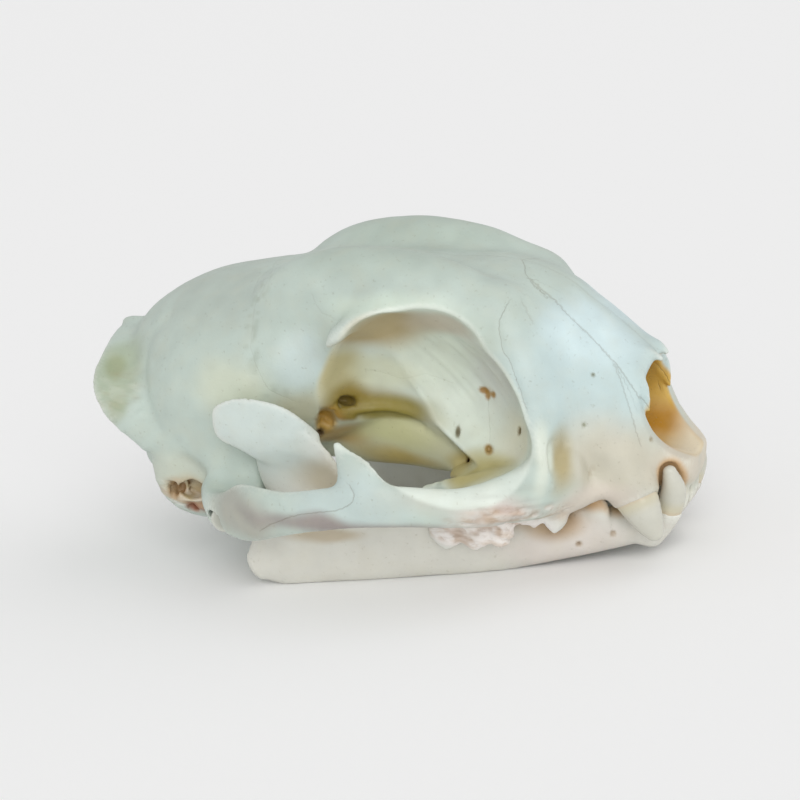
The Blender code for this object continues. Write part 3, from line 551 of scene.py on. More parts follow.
def ragged(form, amount):
    """A form with a slightly uneven edge."""
    low, high, distance = form
    return low, high, lambda x, y, z: distance(x, y, z) + amount * (
        np.sin(2.9 * x + 1.7 * z) * np.sin(3.7 * y - 1.3 * z) + np.sin(2.3 * z + 1.9 * y + 0.7 * x))


def hole_ends(row):
    """Mouth, floor and direction of a small hole."""
    mouth = np.array(row[0])
    inward = np.array(row[1]) - mouth
    inward = inward / np.linalg.norm(inward)
    return mouth, mouth + inward * row[4], inward


def bored(volume, holes, side):
    """Cut small holes on one side."""
    for row in holes:
        mouth, floor, inward = hole_ends(row)
        height, thick = row[2:4]
        upright = abs(inward[2]) > abs(inward[1])
        rows = [(*(mouth - inward), height, thick), (*floor, height * 0.8, thick * 0.8)]
        bore = bar(side, rows, ALONG if upright else (0, 0, 1), pieces=1)
        volume.cut(ragged(bore, 0.15 * min(height, thick)), 0.2 + 0.5 * min(height, thick))


def holes_with_painted_shade(total, points, holes):
    """Paint shade into the insides of the small holes, which are cut shallow."""
    near = points.copy()
    near[:, 1] = np.abs(near[:, 1])
    for row in holes:
        mouth, _, inward = hole_ends(row)
        along = np.clip((near - mouth) @ inward, -0.5, row[4] + 1.0)
        away = near - mouth - along[:, None] * inward
        tall, wide = (row[3], row[2]) if abs(inward[2]) > abs(inward[1]) else row[2:4]
        reach = np.hypot(away[:, 2] / (tall + 0.15), np.hypot(away[:, 0], away[:, 1]) / (wide + 0.15))
        total = blended(total, row[5], 0.9 * (1 - soft(reach, 0.6, 1.4)))
    return total


def fine_forms(volume, side):
    """Small forms of the cranium that the part leaves out."""
    # Shaped floors in the infraorbital and ear openings, the ridge of the orbit's rim and the nasal tips
    volume.join(bulge(side, (36.4, 21.0, 29.3), (2.0, 2.6, 3.4)), 1.2)
    volume.join(bulge(side, (-34.6, 17.6, 13.2), (3.1, 2.4, 3.1)), 0.8)
    volume.join(bar(side, [(35.8, 25.0, 31.5, 0.8, 0.6), (36.6, 26.3, 27.5, 1.0, 0.6),
                           (37.6, 26.0, 24.0, 0.7, 0.5)], ALONG), 1.2)
    volume.join(bar(side, [(46.0, 3.4, 44.2, 0.8, 1.8), (49.2, 2.8, 43.7, 0.8, 1.5),
                           (51.4, 2.3, 42.6, 0.5, 0.7)]), 1.0)
    # The hollow on top of the arch's rear root, and its smooth change to the braincase
    volume.cut(bulge(side, (-24.0, 30.5, 22.6), (9.5, 5.5, 5.4)), 1.5)
    volume.join(bulge(side, (-25.5, 20.4, 22.6), (10.0, 5.6, 6.5)), 3.5)
    bored(volume, SKULL_HOLES, side)
    # The bony bar across the ear opening, and the ridge with a groove under it at the back of the orbit
    volume.join(bar(side, [(-36.1, 21.5, 15.2, 0.5, 0.5), (-36.3, 20.4, 12.6, 0.5, 0.4),
                           (-36.0, 21.3, 10.4, 0.5, 0.5)], ALONG), 0.4)
    volume.join(bar(side, [(-4.0, 13.6, 29.8, 0.5, 0.5), (2.0, 11.6, 30.2, 0.6, 0.6),
                           (8.0, 11.2, 29.4, 0.6, 0.6), (12.5, 11.6, 27.0, 0.5, 0.5)]), 1.2)
    volume.cut(bar(side, [(-3.0, 13.4, 28.2, 0.8, 0.8), (2.5, 11.9, 28.4, 0.9, 0.9),
                          (8.5, 11.6, 27.2, 0.6, 0.6)]), 0.8)


def bare_mesh(volume):
    """Points and quads of the field's zero surface, largest piece only."""
    grid = openvdb.FloatGrid(FAR)
    values = np.pad(np.clip(volume.value, -FAR, FAR), 1, constant_values=FAR)
    grid.copyFromArray(values.astype(np.float32))
    points, quads = grid.convertToQuads()
    points = (np.array(points, dtype=float) - 1) * volume.step + volume.low
    quads = np.array(quads, dtype=int)
    label = np.arange(len(points))
    while True:
        least = label[quads].min(axis=1)
        new = label.copy()
        for corner in range(4):
            np.minimum.at(new, quads[:, corner], least)
        new = new[new]
        if (new == label).all():
            break
        label = new
    main_label = np.bincount(label[quads[:, 0]]).argmax()
    quads = quads[label[quads[:, 0]] == main_label]
    used = np.unique(quads)
    place = np.zeros(len(points), dtype=int)
    place[used] = np.arange(len(used))
    points = points[used]
    quads = place[quads]
    if np.einsum("ij,ij->i", normals_of(points, quads), points - points.mean(axis=0)).mean() < 0:
        quads = quads[:, ::-1]
    return points, quads


def normals_of(points, quads):
    """Vertex normals, pointing outwards."""
    a, b, c, d = (points[quads[:, i]] for i in range(4))
    face = np.cross(c - a, d - b)
    normals = np.zeros_like(points)
    for corner in range(4):
        np.add.at(normals, quads[:, corner], face)
    return normals / (np.linalg.norm(normals, axis=1)[:, None] + 1e-12)


def noise(points, scale, seed):
    """Smooth noise from -1 to 1 with features about scale millimetres across, or a scale for each axis."""
    table = np.random.default_rng(seed).random((NOISE_SIZE,) * 3)
    place = points / scale
    cell = np.floor(place).astype(int)
    t = place - cell
    t = t * t * (3 - 2 * t)
    total = 0.0
    for corner in range(8):
        step = np.array([(corner >> i) & 1 for i in range(3)])
        weight = np.prod(np.where(step, t, 1 - t), axis=1)
        i, j, k = ((cell + step) % NOISE_SIZE).T
        total = total + weight * table[i, j, k]
    return total * 2 - 1


def soft(value, start, end):
    """Rises smoothly from 0 at start to 1 at end."""
    t = np.clip((value - start) / (end - start), 0.0, 1.0)
    return t * t * (3 - 2 * t)


def filled(volume, points, normals, reach):
    """Share of solid in a cube of half side reach, set half a reach out from each point."""
    solid = np.clip(0.5 - volume.value / volume.step, 0.0, 1.0).astype(np.float64)
    half = int(round(reach / volume.step))
    total = np.pad(solid, ((half + 1, half),) * 3).cumsum(axis=0).cumsum(axis=1).cumsum(axis=2)
    wide = 2 * half + 1
    place = points + normals * reach * 0.5
    index = [np.clip(np.round((place[:, i] - volume.low[i]) / volume.step).astype(int), 0, solid.shape[i] - 1)
             for i in range(3)]
    share = 0.0
    for corner in range(8):
        step = [(corner >> i) & 1 for i in range(3)]
        sign = 1 if sum(step) % 2 else -1
        share = share + sign * total[tuple(index[i] + wide * step[i] for i in range(3))]
    return share / wide ** 3


def line_distance(across, up, points):
    """Signed distance in a plane from each place to a bent line."""
    best = np.full(len(across), 1e9)
    for (x0, z0), (x1, z1) in zip(points[:-1], points[1:]):
        length = math.hypot(x1 - x0, z1 - z0)
        ux, uz = (x1 - x0) / length, (z1 - z0) / length
        t = np.clip((across - x0) * ux + (up - z0) * uz, 0, length)
        off_x = across - x0 - t * ux
        off_z = up - z0 - t * uz
        gap = np.hypot(off_x, off_z) * np.where(off_x * uz - off_z * ux < 0, -1.0, 1.0)
        best = np.where(np.abs(gap) < np.abs(best), gap, best)
    return best


def seam_field(points):
    """Signed distance in millimetres to the nearest suture, and how far it counts."""
    x, y, z = points.T
    away = np.abs(y)
    nearest = np.full(len(points), NO_SEAM)
    force = np.zeros(len(points))
    tests = [(line_distance(x, z, line), away, *rest) for line, *rest in SIDE_SEAMS]
    tests += [(line_distance(x, away, line), z, *rest) for line, *rest in TOP_SEAMS]
    start, end, *rest = MIDLINE
    tests.append((np.where((x > start) & (x < end), y, NO_SEAM), z, *rest))
    for gap, depth, low, high, strength in tests:
        gap = np.where((depth > low) & (depth < high), gap, NO_SEAM)
        closer = np.abs(gap) < np.abs(nearest)
        nearest = np.where(closer, gap, nearest)
        force = np.where(closer, strength, force)
    return np.clip(nearest, -SEAM_REACH, SEAM_REACH), force * (1 - soft(np.abs(nearest), 0.8, 1.1))


# Colours, 8-bit, as they look in even light; some are painted shade and some painted light, as marked
BONE_COLOUR = (188, 201, 192)
# painted highlight for the rim over the orbit
BROW_RIM_HIGHLIGHT = (208, 221, 208)
BLUE_BONE = (194, 212, 212)
GREEN_BONE = (168, 180, 154)
CREAM_BONE = (212, 216, 192)
WARM_GREY = (170, 170, 160)
# painted shade laid in wide hollows
PAINTED_HOLLOW_SHADE = (172, 152, 112)
OLIVE = (142, 120, 36)
OCHRE = (180, 128, 14)
ENAMEL_COLOUR = (204, 203, 191)
# painted light: the socket walls paler than the bone, to lift the shade inside the sockets
ORBIT_WALL_PAINTED_LIGHT = (222, 231, 221)
JAW_COLOUR = (216, 215, 206)
# painted light: the jaw's shaded inner side made paler
INNER_JAW_PAINTED_LIGHT = (236, 236, 228)
# painted shade laid in crevices
PAINTED_CREVICE_SHADE = (142, 116, 66)
# painted highlight that makes sharp edges paler
PAINTED_EDGE_HIGHLIGHT = (236, 238, 230)
PIT_STAIN = (176, 140, 104)
DARK_STRAND = (196, 170, 142)
PALE_STRAND = (242, 236, 230)
FLECK = (140, 148, 128)
# painted shade for the crevices of the eye sockets
ORBIT_PAINTED_SHADE = (150, 122, 70)
GUM_STAIN = (200, 148, 72)
NOSE_ROOF = (222, 192, 104)
NOSE_FLOOR = (214, 196, 150)
NOSE_RIM = (226, 214, 188)
CANINE_NECK = (206, 182, 166)
CANINE_BASE = (206, 196, 160)
WARM_CLOUD = (206, 196, 164)
SEAM_LINE = (128, 116, 92)
PORE = (150, 116, 80)
SPECK = (150, 144, 116)


def linear(colour):
    """Linear values of an 8-bit sRGB colour."""
    c = np.array(colour) / 255.0
    return np.where(c <= 0.04045, c / 12.92, ((c + 0.055) / 1.055) ** 2.4)


def blended(total, colour, weight):
    """Lay a colour over the others by weight."""
    return total * (1 - weight[:, None]) + linear(colour) * weight[:, None]


def layered(total, *layers):
    """Lay colours over the others in turn, each by its own weight."""
    for colour, weight in layers:
        total = blended(total, colour, weight)
    return total


def spot(points, centre, radii, hard=0.35):
    """Weight of a soft spot on both sides of the skull."""
    mirrored = points.copy()
    mirrored[:, 1] = np.abs(mirrored[:, 1])
    reach = np.sqrt((((mirrored - centre) / radii) ** 2).sum(axis=1))
    return 1 - soft(reach, hard, 1.0)


def spotted(total, points, stains, share=1.0):
    """Lay soft spots of colour over the colours in turn: stains, and painted light and shade where marked."""
    for centre, radii, colour, strength in stains:
        total = blended(total, colour, strength * share * spot(points, centre, radii))
    return total


# Stains and painted light and shade: centre, radii, colour and strength, laid over one another in turn on
# both sides
CRANIUM_STAINS_AND_PAINTED_LIGHT = (
    ((40, 10, 40), (22, 24, 20), BLUE_BONE, 0.9),
    # painted shade: the top of the brow painted darker
    ((0, 10, 60), (24, 16, 8), (178, 191, 180), 0.8),
    # painted highlight along the rim over the orbit
    ((12, 22, 50), (22, 9, 7), BROW_RIM_HIGHLIGHT, 0.7),
    # painted shade: the top of the braincase painted darker
    ((-34, 12, 50), (18, 20, 10), (180, 191, 182), 0.8),
    # painted highlight along the edge of the brow over the orbit
    ((4, 25, 53), (18, 6, 4.5), (207, 221, 206), 0.7),
    # painted highlight: the bluish-white sheen on the braincase behind the orbit
    ((-12, 21, 41), (7.5, 7, 7), (200, 215, 214), 0.7),
    ((-24, 26, 35), (12, 9, 7), CREAM_BONE, 0.6),
    ((-12, 22, 31), (7, 8, 7), (192, 184, 150), 0.6),
    ((-52, 16, 32), (8, 14, 12), GREEN_BONE, 0.8),
    ((-52.4, 17, 33.6), (3.4, 5, 3.0), (144, 152, 108), 0.55),
    ((-50.0, 22.0, 27.6), (3.0, 5, 3.6), (150, 158, 118), 0.55),
    ((40, 8, 48), (15, 11, 9), (208, 226, 228), 0.8),
    ((46, 15, 26), (17, 14, 13), (202, 197, 180), 0.95),
    ((42, 18, 18), (16, 12, 6), (212, 202, 190), 0.85),
    ((57, 6, 24), (9, 14, 8), (212, 202, 184), 0.9),
    ((57, 4, 15.5), (7, 11, 5), (212, 209, 194), 0.95),
    # painted shade in the recess of the infraorbital foramen behind its ridge
    ((38.6, 21.8, 27.4), (4.2, 5.5, 7.5), (174, 157, 108), 0.85),
    ((4, 41, 22), (16, 6, 9), (192, 207, 205), 0.7),
    ((-18, 38, 16), (14, 9, 7), WARM_GREY, 0.95),
    # painted shade along the underside of the arch
    ((4, 39, 16.8), (28, 9, 3.6), (150, 140, 136), 0.95),
    ((20, 35, 24), (19, 9, 4.5), (188, 191, 180), 0.85),
    ((35.6, 26, 29.5), (2.8, 5, 9), (222, 229, 215), 0.85),
    ((28, 32, 20.5), (18, 9, 5), (208, 200, 192), 0.9),
    ((33, 32, 21), (3.5, 5, 1.5), (196, 168, 154), 0.5),
    ((26, 25, 12), (22, 9, 7), (243, 237, 233), 0.95),
    ((-37, 22, 15), (10, 8, 8), (196, 201, 186), 0.8),
    ((-35.6, 22, 12), (5.6, 7, 4.8), (186, 160, 112), 0.8),
    ((-33.5, 21, 8.4), (2.6, 3, 2.2), (150, 96, 66), 0.7),
    ((8, 4, 23), (36, 24, 16), (204, 204, 174), 0.95),
)
LOW_STAINS = (
    ((-8, 12, 24.5), (8, 8, 5.5), (186, 156, 96), 0.9),
    ((17, 15, 21.5), (6, 7, 4.5), (188, 174, 116), 0.9),
    ((24, 21, 23.6), (11, 9, 3.6), (184, 170, 104), 0.9),
    ((3, 9, 25.5), (15, 7, 5.5), (198, 198, 152), 0.95),
    ((3, 8, 20), (14, 8, 3.6), (190, 170, 104), 0.95),
    ((3, 10, 29.2), (11, 6, 1.7), (146, 134, 62), 0.85),
)
# Tints of the socket walls, partly the bone's own colour and partly painted shade: the tan under the roof and
# the olive and brown at the deep rear are darker where shade falls in the socket
ORBIT_STAINS_AND_PAINTED_SHADE = (
    ((9, 11, 40), (14, 9, 10), (207, 215, 200), 0.8),
    ((25, 14, 40), (11, 9, 13), (208, 211, 206), 0.85),
    ((2, 19, 48), (15, 14, 7), (180, 162, 122), 0.95),
    ((14, 15, 49.5), (10, 9, 5), (190, 178, 160), 0.7),
    ((-6, 18, 37), (8, 8, 10), (190, 178, 126), 0.85),
    ((0, 13, 38), (9, 7, 5), (216, 220, 194), 0.7),
    ((-3, 14.5, 31), (15, 9, 5.6), OLIVE, 0.95),
    ((3, 12, 30.5), (12, 8, 4.2), (144, 130, 52), 0.9),
    ((-9, 18, 27.5), (5, 5, 4.8), (170, 120, 40), 0.95),
    ((28, 16, 28), (7, 7, 6), (226, 220, 198), 0.6),
    ((22, 13, 34.8), (2.0, 5, 1.7), (196, 176, 140), 0.6),
)
JAW_STAINS_AND_PAINTED_SHADE = (
    ((-16, 30, 30), (17, 9, 16), (202, 213, 208), 1.0),
    ((-4, 28, 20), (9, 4, 8), (184, 172, 146), 0.8),
    ((-23, 30, 12), (5, 9, 4), (178, 180, 168), 0.9),
    # painted shadow of the arch on the jaw's upper part
    ((-4, 27.5, 9.2), (12, 4, 2.6), (186, 170, 142), 0.75),
    ((38, 15, 8), (20, 9, 7), (212, 203, 196), 0.7),
    ((56, 4, 17.5), (6, 9, 4), (212, 209, 194), 0.95),
    ((35.5, 16.5, 13.0), (9, 6, 4.5), (178, 150, 116), 0.95),
    # painted shade in the gap under the upper jaw's edge
    ((40.5, 14, 17), (6, 6, 3.6), (196, 154, 98), 0.85),
    # painted shade in the gap under the upper jaw's edge
    ((47, 12, 16), (5, 8, 3.6), (196, 148, 70), 0.8),
    ((30, 17, 14), (14, 6, 3), (192, 170, 142), 0.6),
)

# Rough, fibrous bone: centre, radii and strength
ROUGH_SKULL = (((24, 25, 13.5), (14, 8, 5.5), 1.0), ((36.5, 24, 18.0), (6.5, 7, 3.6), 0.8),
               ((28, 32, 19.0), (14, 8, 4.0), 0.8), ((-36, 22, 11), (8, 5, 6), 0.8),
               ((-50, 20, 30), (6, 6, 9), 0.2), ((55, 8, 22), (7, 9, 4), 0.2))
ROUGH_JAW = (((30, 18, 15.5), (16, 6, 3), 0.6), ((52, 6, 14), (9, 9, 6), 0.25))


def zone(points, rows):
    """Greatest weight among soft spots."""
    total = np.zeros(len(points))
    for centre, radii, strength in rows:
        total = np.maximum(total, strength * spot(points, centre, radii, 0.5))
    return total


# Relief of the surface, in millimetres
SWELLS = ((0.09, 7.0, 3), (0.05, 2.4, 4))   # height, size and seed of each gentle unevenness
STRAND_SIZE = (4.2, 1.6, 0.95)      # fibres over the cheek teeth: length, breadth and height
STRAND_SLOPE = 0.28     # how steeply they run down to the front
SLANT = 0.707           # on the orbit's inner wall they slope down to the front at 45 degrees
# Other fibres: centre, radii and strength of the patch, and their size along each direction
WALL_FIBRES = ((16, 12, 40), (14, 9, 13), 1.5, (0.75, 3.0, 6.0))    # inner wall of the orbit
ARCH_FIBRES = ((30, 31, 21), (14, 8, 6), 1.8, (5.0, 5.0, 0.7))      # front root of the arch
PIT_DEPTH = 0.45
STRAND_HEIGHT = 0.30
STREAK_HEIGHT = 0.09
SEAM_DEPTH = 0.12
SEAM_WIDTH = 0.35
NEAR_REACH = 2.4        # reach of the test for small hollows
WIDE_REACH = 6.4        # reach of the test for wide hollows


def weathered(volume, rough_rows, fibres):
    """The bare surface with its undulation, pits, fibres and sutures, and what the paint needs to know."""
    points, quads = bare_mesh(volume)
    normals = normals_of(points, quads)
    x, y, z = points.T
    rough = zone(points, rough_rows)
    grain = np.stack([x, y, z + STRAND_SLOPE * x], axis=1) / STRAND_SIZE
    strands = noise(grain, 1.0, 7)
    pits = soft(0.8 * noise(grain * 0.8, 1.0, 5) + 0.35 * noise(points, 1.0, 6), 0.12, 0.60)
    lift = sum(height * noise(points, size, seed) for height, size, seed in SWELLS)
    lift -= PIT_DEPTH * rough * pits
    lift += STRAND_HEIGHT * rough * strands
    seam, weight = np.full(len(points), SEAM_REACH), np.zeros(len(points))
    streak = np.zeros(len(points))
    if fibres:
        seam, weight = seam_field(points)
        slanted = np.stack([(x + z) * SLANT, y, (x - z) * SLANT], axis=1)
        for row, place, seed in ((WALL_FIBRES, slanted, 8), (ARCH_FIBRES, points, 9)):
            centre, radii, strength, size = row
            streak += strength * spot(points, centre, radii) * noise(place, size, seed)
        lift += STREAK_HEIGHT * streak
        lift -= SEAM_DEPTH * weight * np.exp(-(seam / SEAM_WIDTH) ** 2)
        for line, low, high, width, depth in CREASES:
            gap = line_distance(x, z, line)
            lift -= depth * np.exp(-(gap / width) ** 2) * ((np.abs(y) > low) & (np.abs(y) < high))
    known = {"at": points, "normals": normals, "rough": rough, "pits": pits, "strands": strands,
             "streak": streak, "seam": seam, "weight": weight,
             "small": filled(volume, points, normals, NEAR_REACH),
             "wide": filled(volume, points, normals, WIDE_REACH)}
    return points + normals * lift[:, None], quads, known


def aged_and_painted_light(total, known):
    """Painted shade in crevices and wide hollows, painted highlight on sharp edges, stained pits and fibres,
    on top of the painted regions.
    """
    points, rough, small, strands = (known[word] for word in ("at", "rough", "small", "strands"))
    cloud = noise(points, 9.0, 11) * 0.6 + noise(points, 3.5, 12) * 0.4
    total = total * (1 + 0.045 * cloud)[:, None] * (1 + 0.05 * known["streak"])[:, None]
    # Painted shade darkens wide hollows and crevices, and a painted highlight makes sharp edges paler
    return layered(total, (PAINTED_HOLLOW_SHADE, 0.55 * soft(known["wide"], 0.42, 0.72)),
                   (PAINTED_CREVICE_SHADE, 0.7 * soft(small, 0.42, 0.68)), (PAINTED_EDGE_HIGHLIGHT, 0.5 * soft(-small, -0.17, -0.05)),
                   (PIT_STAIN, 0.55 * rough * known["pits"]),
                   (DARK_STRAND, 0.4 * rough * soft(strands, 0.1, 0.6)),
                   (PALE_STRAND, 0.5 * rough * soft(-strands, 0.1, 0.6)))


def in_orbit(points):
    """Weight of being on the walls of an eye socket."""
    x, y, z = points.T
    depth = np.min([bulge(1, *row[:3])[2](x, np.abs(y), z) for row in ORBIT], axis=0)
    return 1 - soft(depth, 0.35, 1.3)


def in_nose(points):
    """Weight of being on the walls of the nasal cavity."""
    return 1 - soft(strap(NOSTRIL)[2](*points.T), 0.25, 1.1)


WANDER = (1.7, 7.0)     # how far the edges of stains wander, and the size of the noise that moves them


def wandering(points):
    """The places moved about a little, so that stains have uneven edges."""
    reach, size = WANDER
    return points + reach * np.stack([noise(points, size, seed) for seed in (31, 32, 33)], axis=1)


def cranium_paint(known):
    """Colours of the cranium: regions, age, the walls of the orbits, the small holes and the nose, with
    painted shade and painted highlights among them.
    """
    points = known["at"]
    x, y, z = points.T
    loose = wandering(points)
    total = spotted(np.tile(linear(BONE_COLOUR), (len(points), 1)), loose, CRANIUM_STAINS_AND_PAINTED_LIGHT)
    band = np.exp(-(line_distance(x, z, SIDE_SEAMS[FLECKED][0]) / 1.6) ** 2) * (np.abs(y) > 12)
    total = blended(total, FLECK, 0.28 * band * soft(noise(points, 1.1, 14), 0.0, 0.6))
    total = aged_and_painted_light(total, known)
    inside = in_orbit(points)
    # Painted light: the walls of the sockets made paler to lift the shade inside them
    total = blended(total, ORBIT_WALL_PAINTED_LIGHT, 0.8 * inside)
    # Stains and painted shade on the walls of the sockets
    total = spotted(total, loose, ORBIT_STAINS_AND_PAINTED_SHADE, inside)
    total = spotted(total, loose, LOW_STAINS)
    # Painted shade in the crevices of the eye sockets
    total = blended(total, ORBIT_PAINTED_SHADE, 0.35 * inside * soft(known["small"], 0.46, 0.66))
    total = total * (1 + 0.03 * noise(points, 2.4, 15) + 0.05 * known["streak"])[:, None]
    # Painted shade inside the small holes
    total = holes_with_painted_shade(total, points, SKULL_HOLES)
    tip = 1 - soft(crown(LOWER_CANINE, 1)[2](x, np.abs(y), z), 0.7, 2.2)
    nose = in_nose(points)
    return layered(total, (GUM_STAIN, 0.65 * tip * (z > 17)), (OCHRE, nose),
                   (NOSE_ROOF, 0.65 * nose * soft(z, 28.5, 32.5)),
                   (NOSE_FLOOR, 0.8 * nose * (1 - soft(z, 24.5, 27.5))),
                   (NOSE_RIM, 0.9 * nose * soft(x, 51.0, 57.0)))


def jaw_paint(known):
    """Colours of a half of the jaw, with stains, painted shade, and painted light that makes its shaded inner
    side paler.
    """
    points = known["at"]
    total = spotted(np.tile(linear(JAW_COLOUR), (len(points), 1)), wandering(points), JAW_STAINS_AND_PAINTED_SHADE)
    total = aged_and_painted_light(total, known)
    inward = -known["normals"][:, 1] * np.sign(points[:, 1])
    # Painted light on the jaw's inner side, which lies in shade
    total = blended(total, INNER_JAW_PAINTED_LIGHT, 0.8 * soft(inward, 0.2, 0.7) * (points[:, 0] < 30))
    return holes_with_painted_shade(total, points, JAW_HOLES)


def placed(name, data):
    """A new object in the scene."""
    body = bpy.data.objects.new(name, data)
    bpy.context.scene.collection.objects.link(body)
    return body


def piece(name, points, quads, colours, known, shader, nodes):
    """A finished mesh object in the row's frame, standing for CAD nodes."""
    mesh = bpy.data.meshes.new(name)
    mesh.from_pydata(points.tolist(), [], quads.tolist())
    paint = mesh.color_attributes.new("tint", "FLOAT_COLOR", "POINT")
    opaque = np.hstack([colours, np.ones((len(colours), 1))])
    paint.data.foreach_set("color", opaque.astype(np.float32).ravel())
    detail = mesh.attributes.new("detail", "FLOAT_VECTOR", "POINT")
    rows = np.stack([known["seam"], known["weight"], known["rough"]], axis=1)
    detail.data.foreach_set("vector", rows.astype(np.float32).ravel())
    mesh.transform(stance())
    for vertex in mesh.vertices:
        if vertex.co.z < 0:
            vertex.co.z = 0.0
    mesh.shade_smooth()
    mesh.materials.append(shader)
    body = placed(name, mesh)
    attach(body, "root")
    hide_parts(*nodes)


class Shader:
    """A Principled material built from short steps."""

    def __init__(self, name):
        self.made = bpy.data.materials.new(name)
        self.made.use_nodes = True
        self.nodes = self.made.node_tree.nodes
        self.links = self.made.node_tree.links
        self.main = self.nodes["Principled BSDF"]
        self.place = self.add("ShaderNodeTexCoord").outputs["Object"]

    def add(self, kind, **inputs):
        """A new node with its inputs fed by name."""
        node = self.nodes.new(kind)
        for key, value in inputs.items():
            self.feed(node.inputs[key.replace("_", " ")], value)
        return node

    def feed(self, socket, value):
        """Link a socket to an input, or set its plain value."""
        if isinstance(value, bpy.types.NodeSocket):
            self.links.new(value, socket)
        else:
            socket.default_value = value

    def math(self, operation, *values, kind="ShaderNodeMath"):
        """Result of one operation on values or sockets."""
        node = self.nodes.new(kind)
        node.operation = operation
        for socket, value in zip(node.inputs, values):
            self.feed(socket, value)
        return node.outputs[0]

    def noise(self, scale, detail, place=None):
        """Noise from 0 to 1, its scale per metre."""
        node = self.add("ShaderNodeTexNoise", Vector=place or self.place, Scale=scale, Detail=detail)
        return node.outputs["Fac"]

    def ramp(self, value, start, end, low=0.0, high=1.0):
        """The range from start to end, spread over low to high."""
        return self.add("ShaderNodeMapRange", Value=value, From_Min=start, From_Max=end, To_Min=low,
                        To_Max=high).outputs["Result"]

    def mix(self, factor, first, second):
        """Two colours mixed by a factor."""
        node = self.nodes.new("ShaderNodeMix")
        node.data_type = "RGBA"
        self.feed(node.inputs["Factor"], factor)
        self.feed(node.inputs[6], first)
        self.feed(node.inputs[7], second)
        return node.outputs[2]


# Scales of the shader's noises, per metre
WAVER_SCALE = 1300      # unsteady edges of the sutures
MOTTLE_SCALE = 170
CLOUD_SCALE = 260
FINE_SCALE = 1500       # specks and fibres
LUMP_SCALE = 420
GRAIN_SCALE = 1900
FIBRE_SHAPE = (0.22, 0.7, 1.0)      # fibres run along the skull
BUMP_HEIGHT = 0.00022   # metres


def surface(name, roughness, grain, relief):
    """Bone or enamel: the painted tint with fine mottling, specks, sutures and pores."""
    made = Shader(name)
    made.main.inputs["Roughness"].default_value = roughness
    made.main.inputs["Specular IOR Level"].default_value = 0.4
    paint = made.add("ShaderNodeAttribute")
    paint.attribute_name = "tint"
    detail = made.add("ShaderNodeAttribute")
    detail.attribute_name = "detail"
    seam, weight, rough = made.add("ShaderNodeSeparateXYZ", Vector=detail.outputs["Vector"]).outputs
    waver = made.math("MULTIPLY_ADD", made.noise(WAVER_SCALE, 3.0), 0.5, -0.25)
    line = made.math("ABSOLUTE", made.math("ADD", seam, waver))
    line = made.math("MULTIPLY", made.ramp(line, 0.02, 0.14, 1.0, 0.0), weight)
    tinted = made.add("ShaderNodeVectorMath")
    tinted.operation = "SCALE"
    made.feed(tinted.inputs[0], paint.outputs["Color"])
    mottle = made.ramp(made.noise(MOTTLE_SCALE, 6.0), 0.3, 0.7, 1 - grain, 1 + grain)
    made.feed(tinted.inputs["Scale"], mottle)
    drawn = made.math("MULTIPLY", made.place, FIBRE_SHAPE, kind="ShaderNodeVectorMath")
    pore = made.math("MULTIPLY", made.ramp(made.noise(FINE_SCALE, 3.0, drawn), 0.50, 0.68), rough)
    speck = made.ramp(made.noise(FINE_SCALE, 2.0), 0.66, 0.74)
    warm = made.ramp(made.noise(CLOUD_SCALE, 4.0), 0.45, 0.70)
    colour = tinted.outputs["Vector"]
    for mask, strength, tone in ((warm, 2 * grain, WARM_CLOUD), (line, 0.28, SEAM_LINE), (pore, 0.3, PORE),
                                 (speck, 4 * grain, SPECK)):
        colour = made.mix(made.math("MULTIPLY", mask, strength), colour, (*linear(tone), 1))
    made.feed(made.main.inputs["Base Color"], colour)
    fine = made.math("MULTIPLY", made.noise(GRAIN_SCALE, 3.0), 0.22)
    height = made.math("MULTIPLY_ADD", made.noise(LUMP_SCALE, 5.0), 0.5, fine)
    for mask, depth in ((line, 0.8), (pore, 0.7), (speck, 10 * grain)):
        height = made.math("SUBTRACT", height, made.math("MULTIPLY", mask, depth))
    bump = made.add("ShaderNodeBump", Height=height, Strength=relief, Distance=BUMP_HEIGHT)
    made.feed(made.main.inputs["Normal"], bump.outputs["Normal"])
    return made.made


# Roughness, strength of the mottling and strength of the relief
BONE_SURFACE = (0.44, 0.045, 0.5)
ENAMEL_SURFACE = (0.22, 0.02, 0.08)
SUNK = 1.0          # how deep a canine's neck sits in its socket
SWELLING = 0.18     # how far a socket's rim stands out round the crown
SOCKET_BLEND = 1.6
CLEAR_BLEND = 0.8   # rounding of the room cut for a canine in the other jaw
CANINE_STEP = 0.25  # spacing of the samples that a canine is built from
JOINT_TRIM = ((-24.0, 37.0, 11.5), (6.5, 4.6, 6.5))     # what the jaw's condyle loses at its outer end


def clipped(form, plane):
    """The part of a form behind a plane."""
    low, high, distance = form
    return low, high, lambda x, y, z: np.maximum(distance(x, y, z), -plane[2](x, y, z))


def seated_canine(points, cut, side):
    """The crown of a canine, its neck sunk a little in the bone."""
    form = crown(points, side)
    volume = Volume(form[0] - 2, form[1] + 2, CANINE_STEP)
    volume.join(form, 0.1)
    volume.keep(gum(cut, side), -SUNK)
    return volume


def seat(volume, points, cut, side):
    """The swollen rim of a canine's socket."""
    volume.join(clipped(grown(crown(points, side), SWELLING), gum(cut, side)), SOCKET_BLEND)


def canine_paint(points, cut, side):
    """Ivory enamel, warmer at the neck and with a pale tip."""
    above = -gum(cut, side)[2](*points.T)
    total = np.tile(linear(ENAMEL_COLOUR), (len(points), 1))
    total = layered(total, (CANINE_NECK, 0.7 * (1 - soft(above, 0.0, 1.0))),
                    (CANINE_BASE, 0.5 * (1 - soft(above, 0.8, 3.2))))
    return total * (1 + 0.03 * noise(points, 1.6, 21))[:, None]


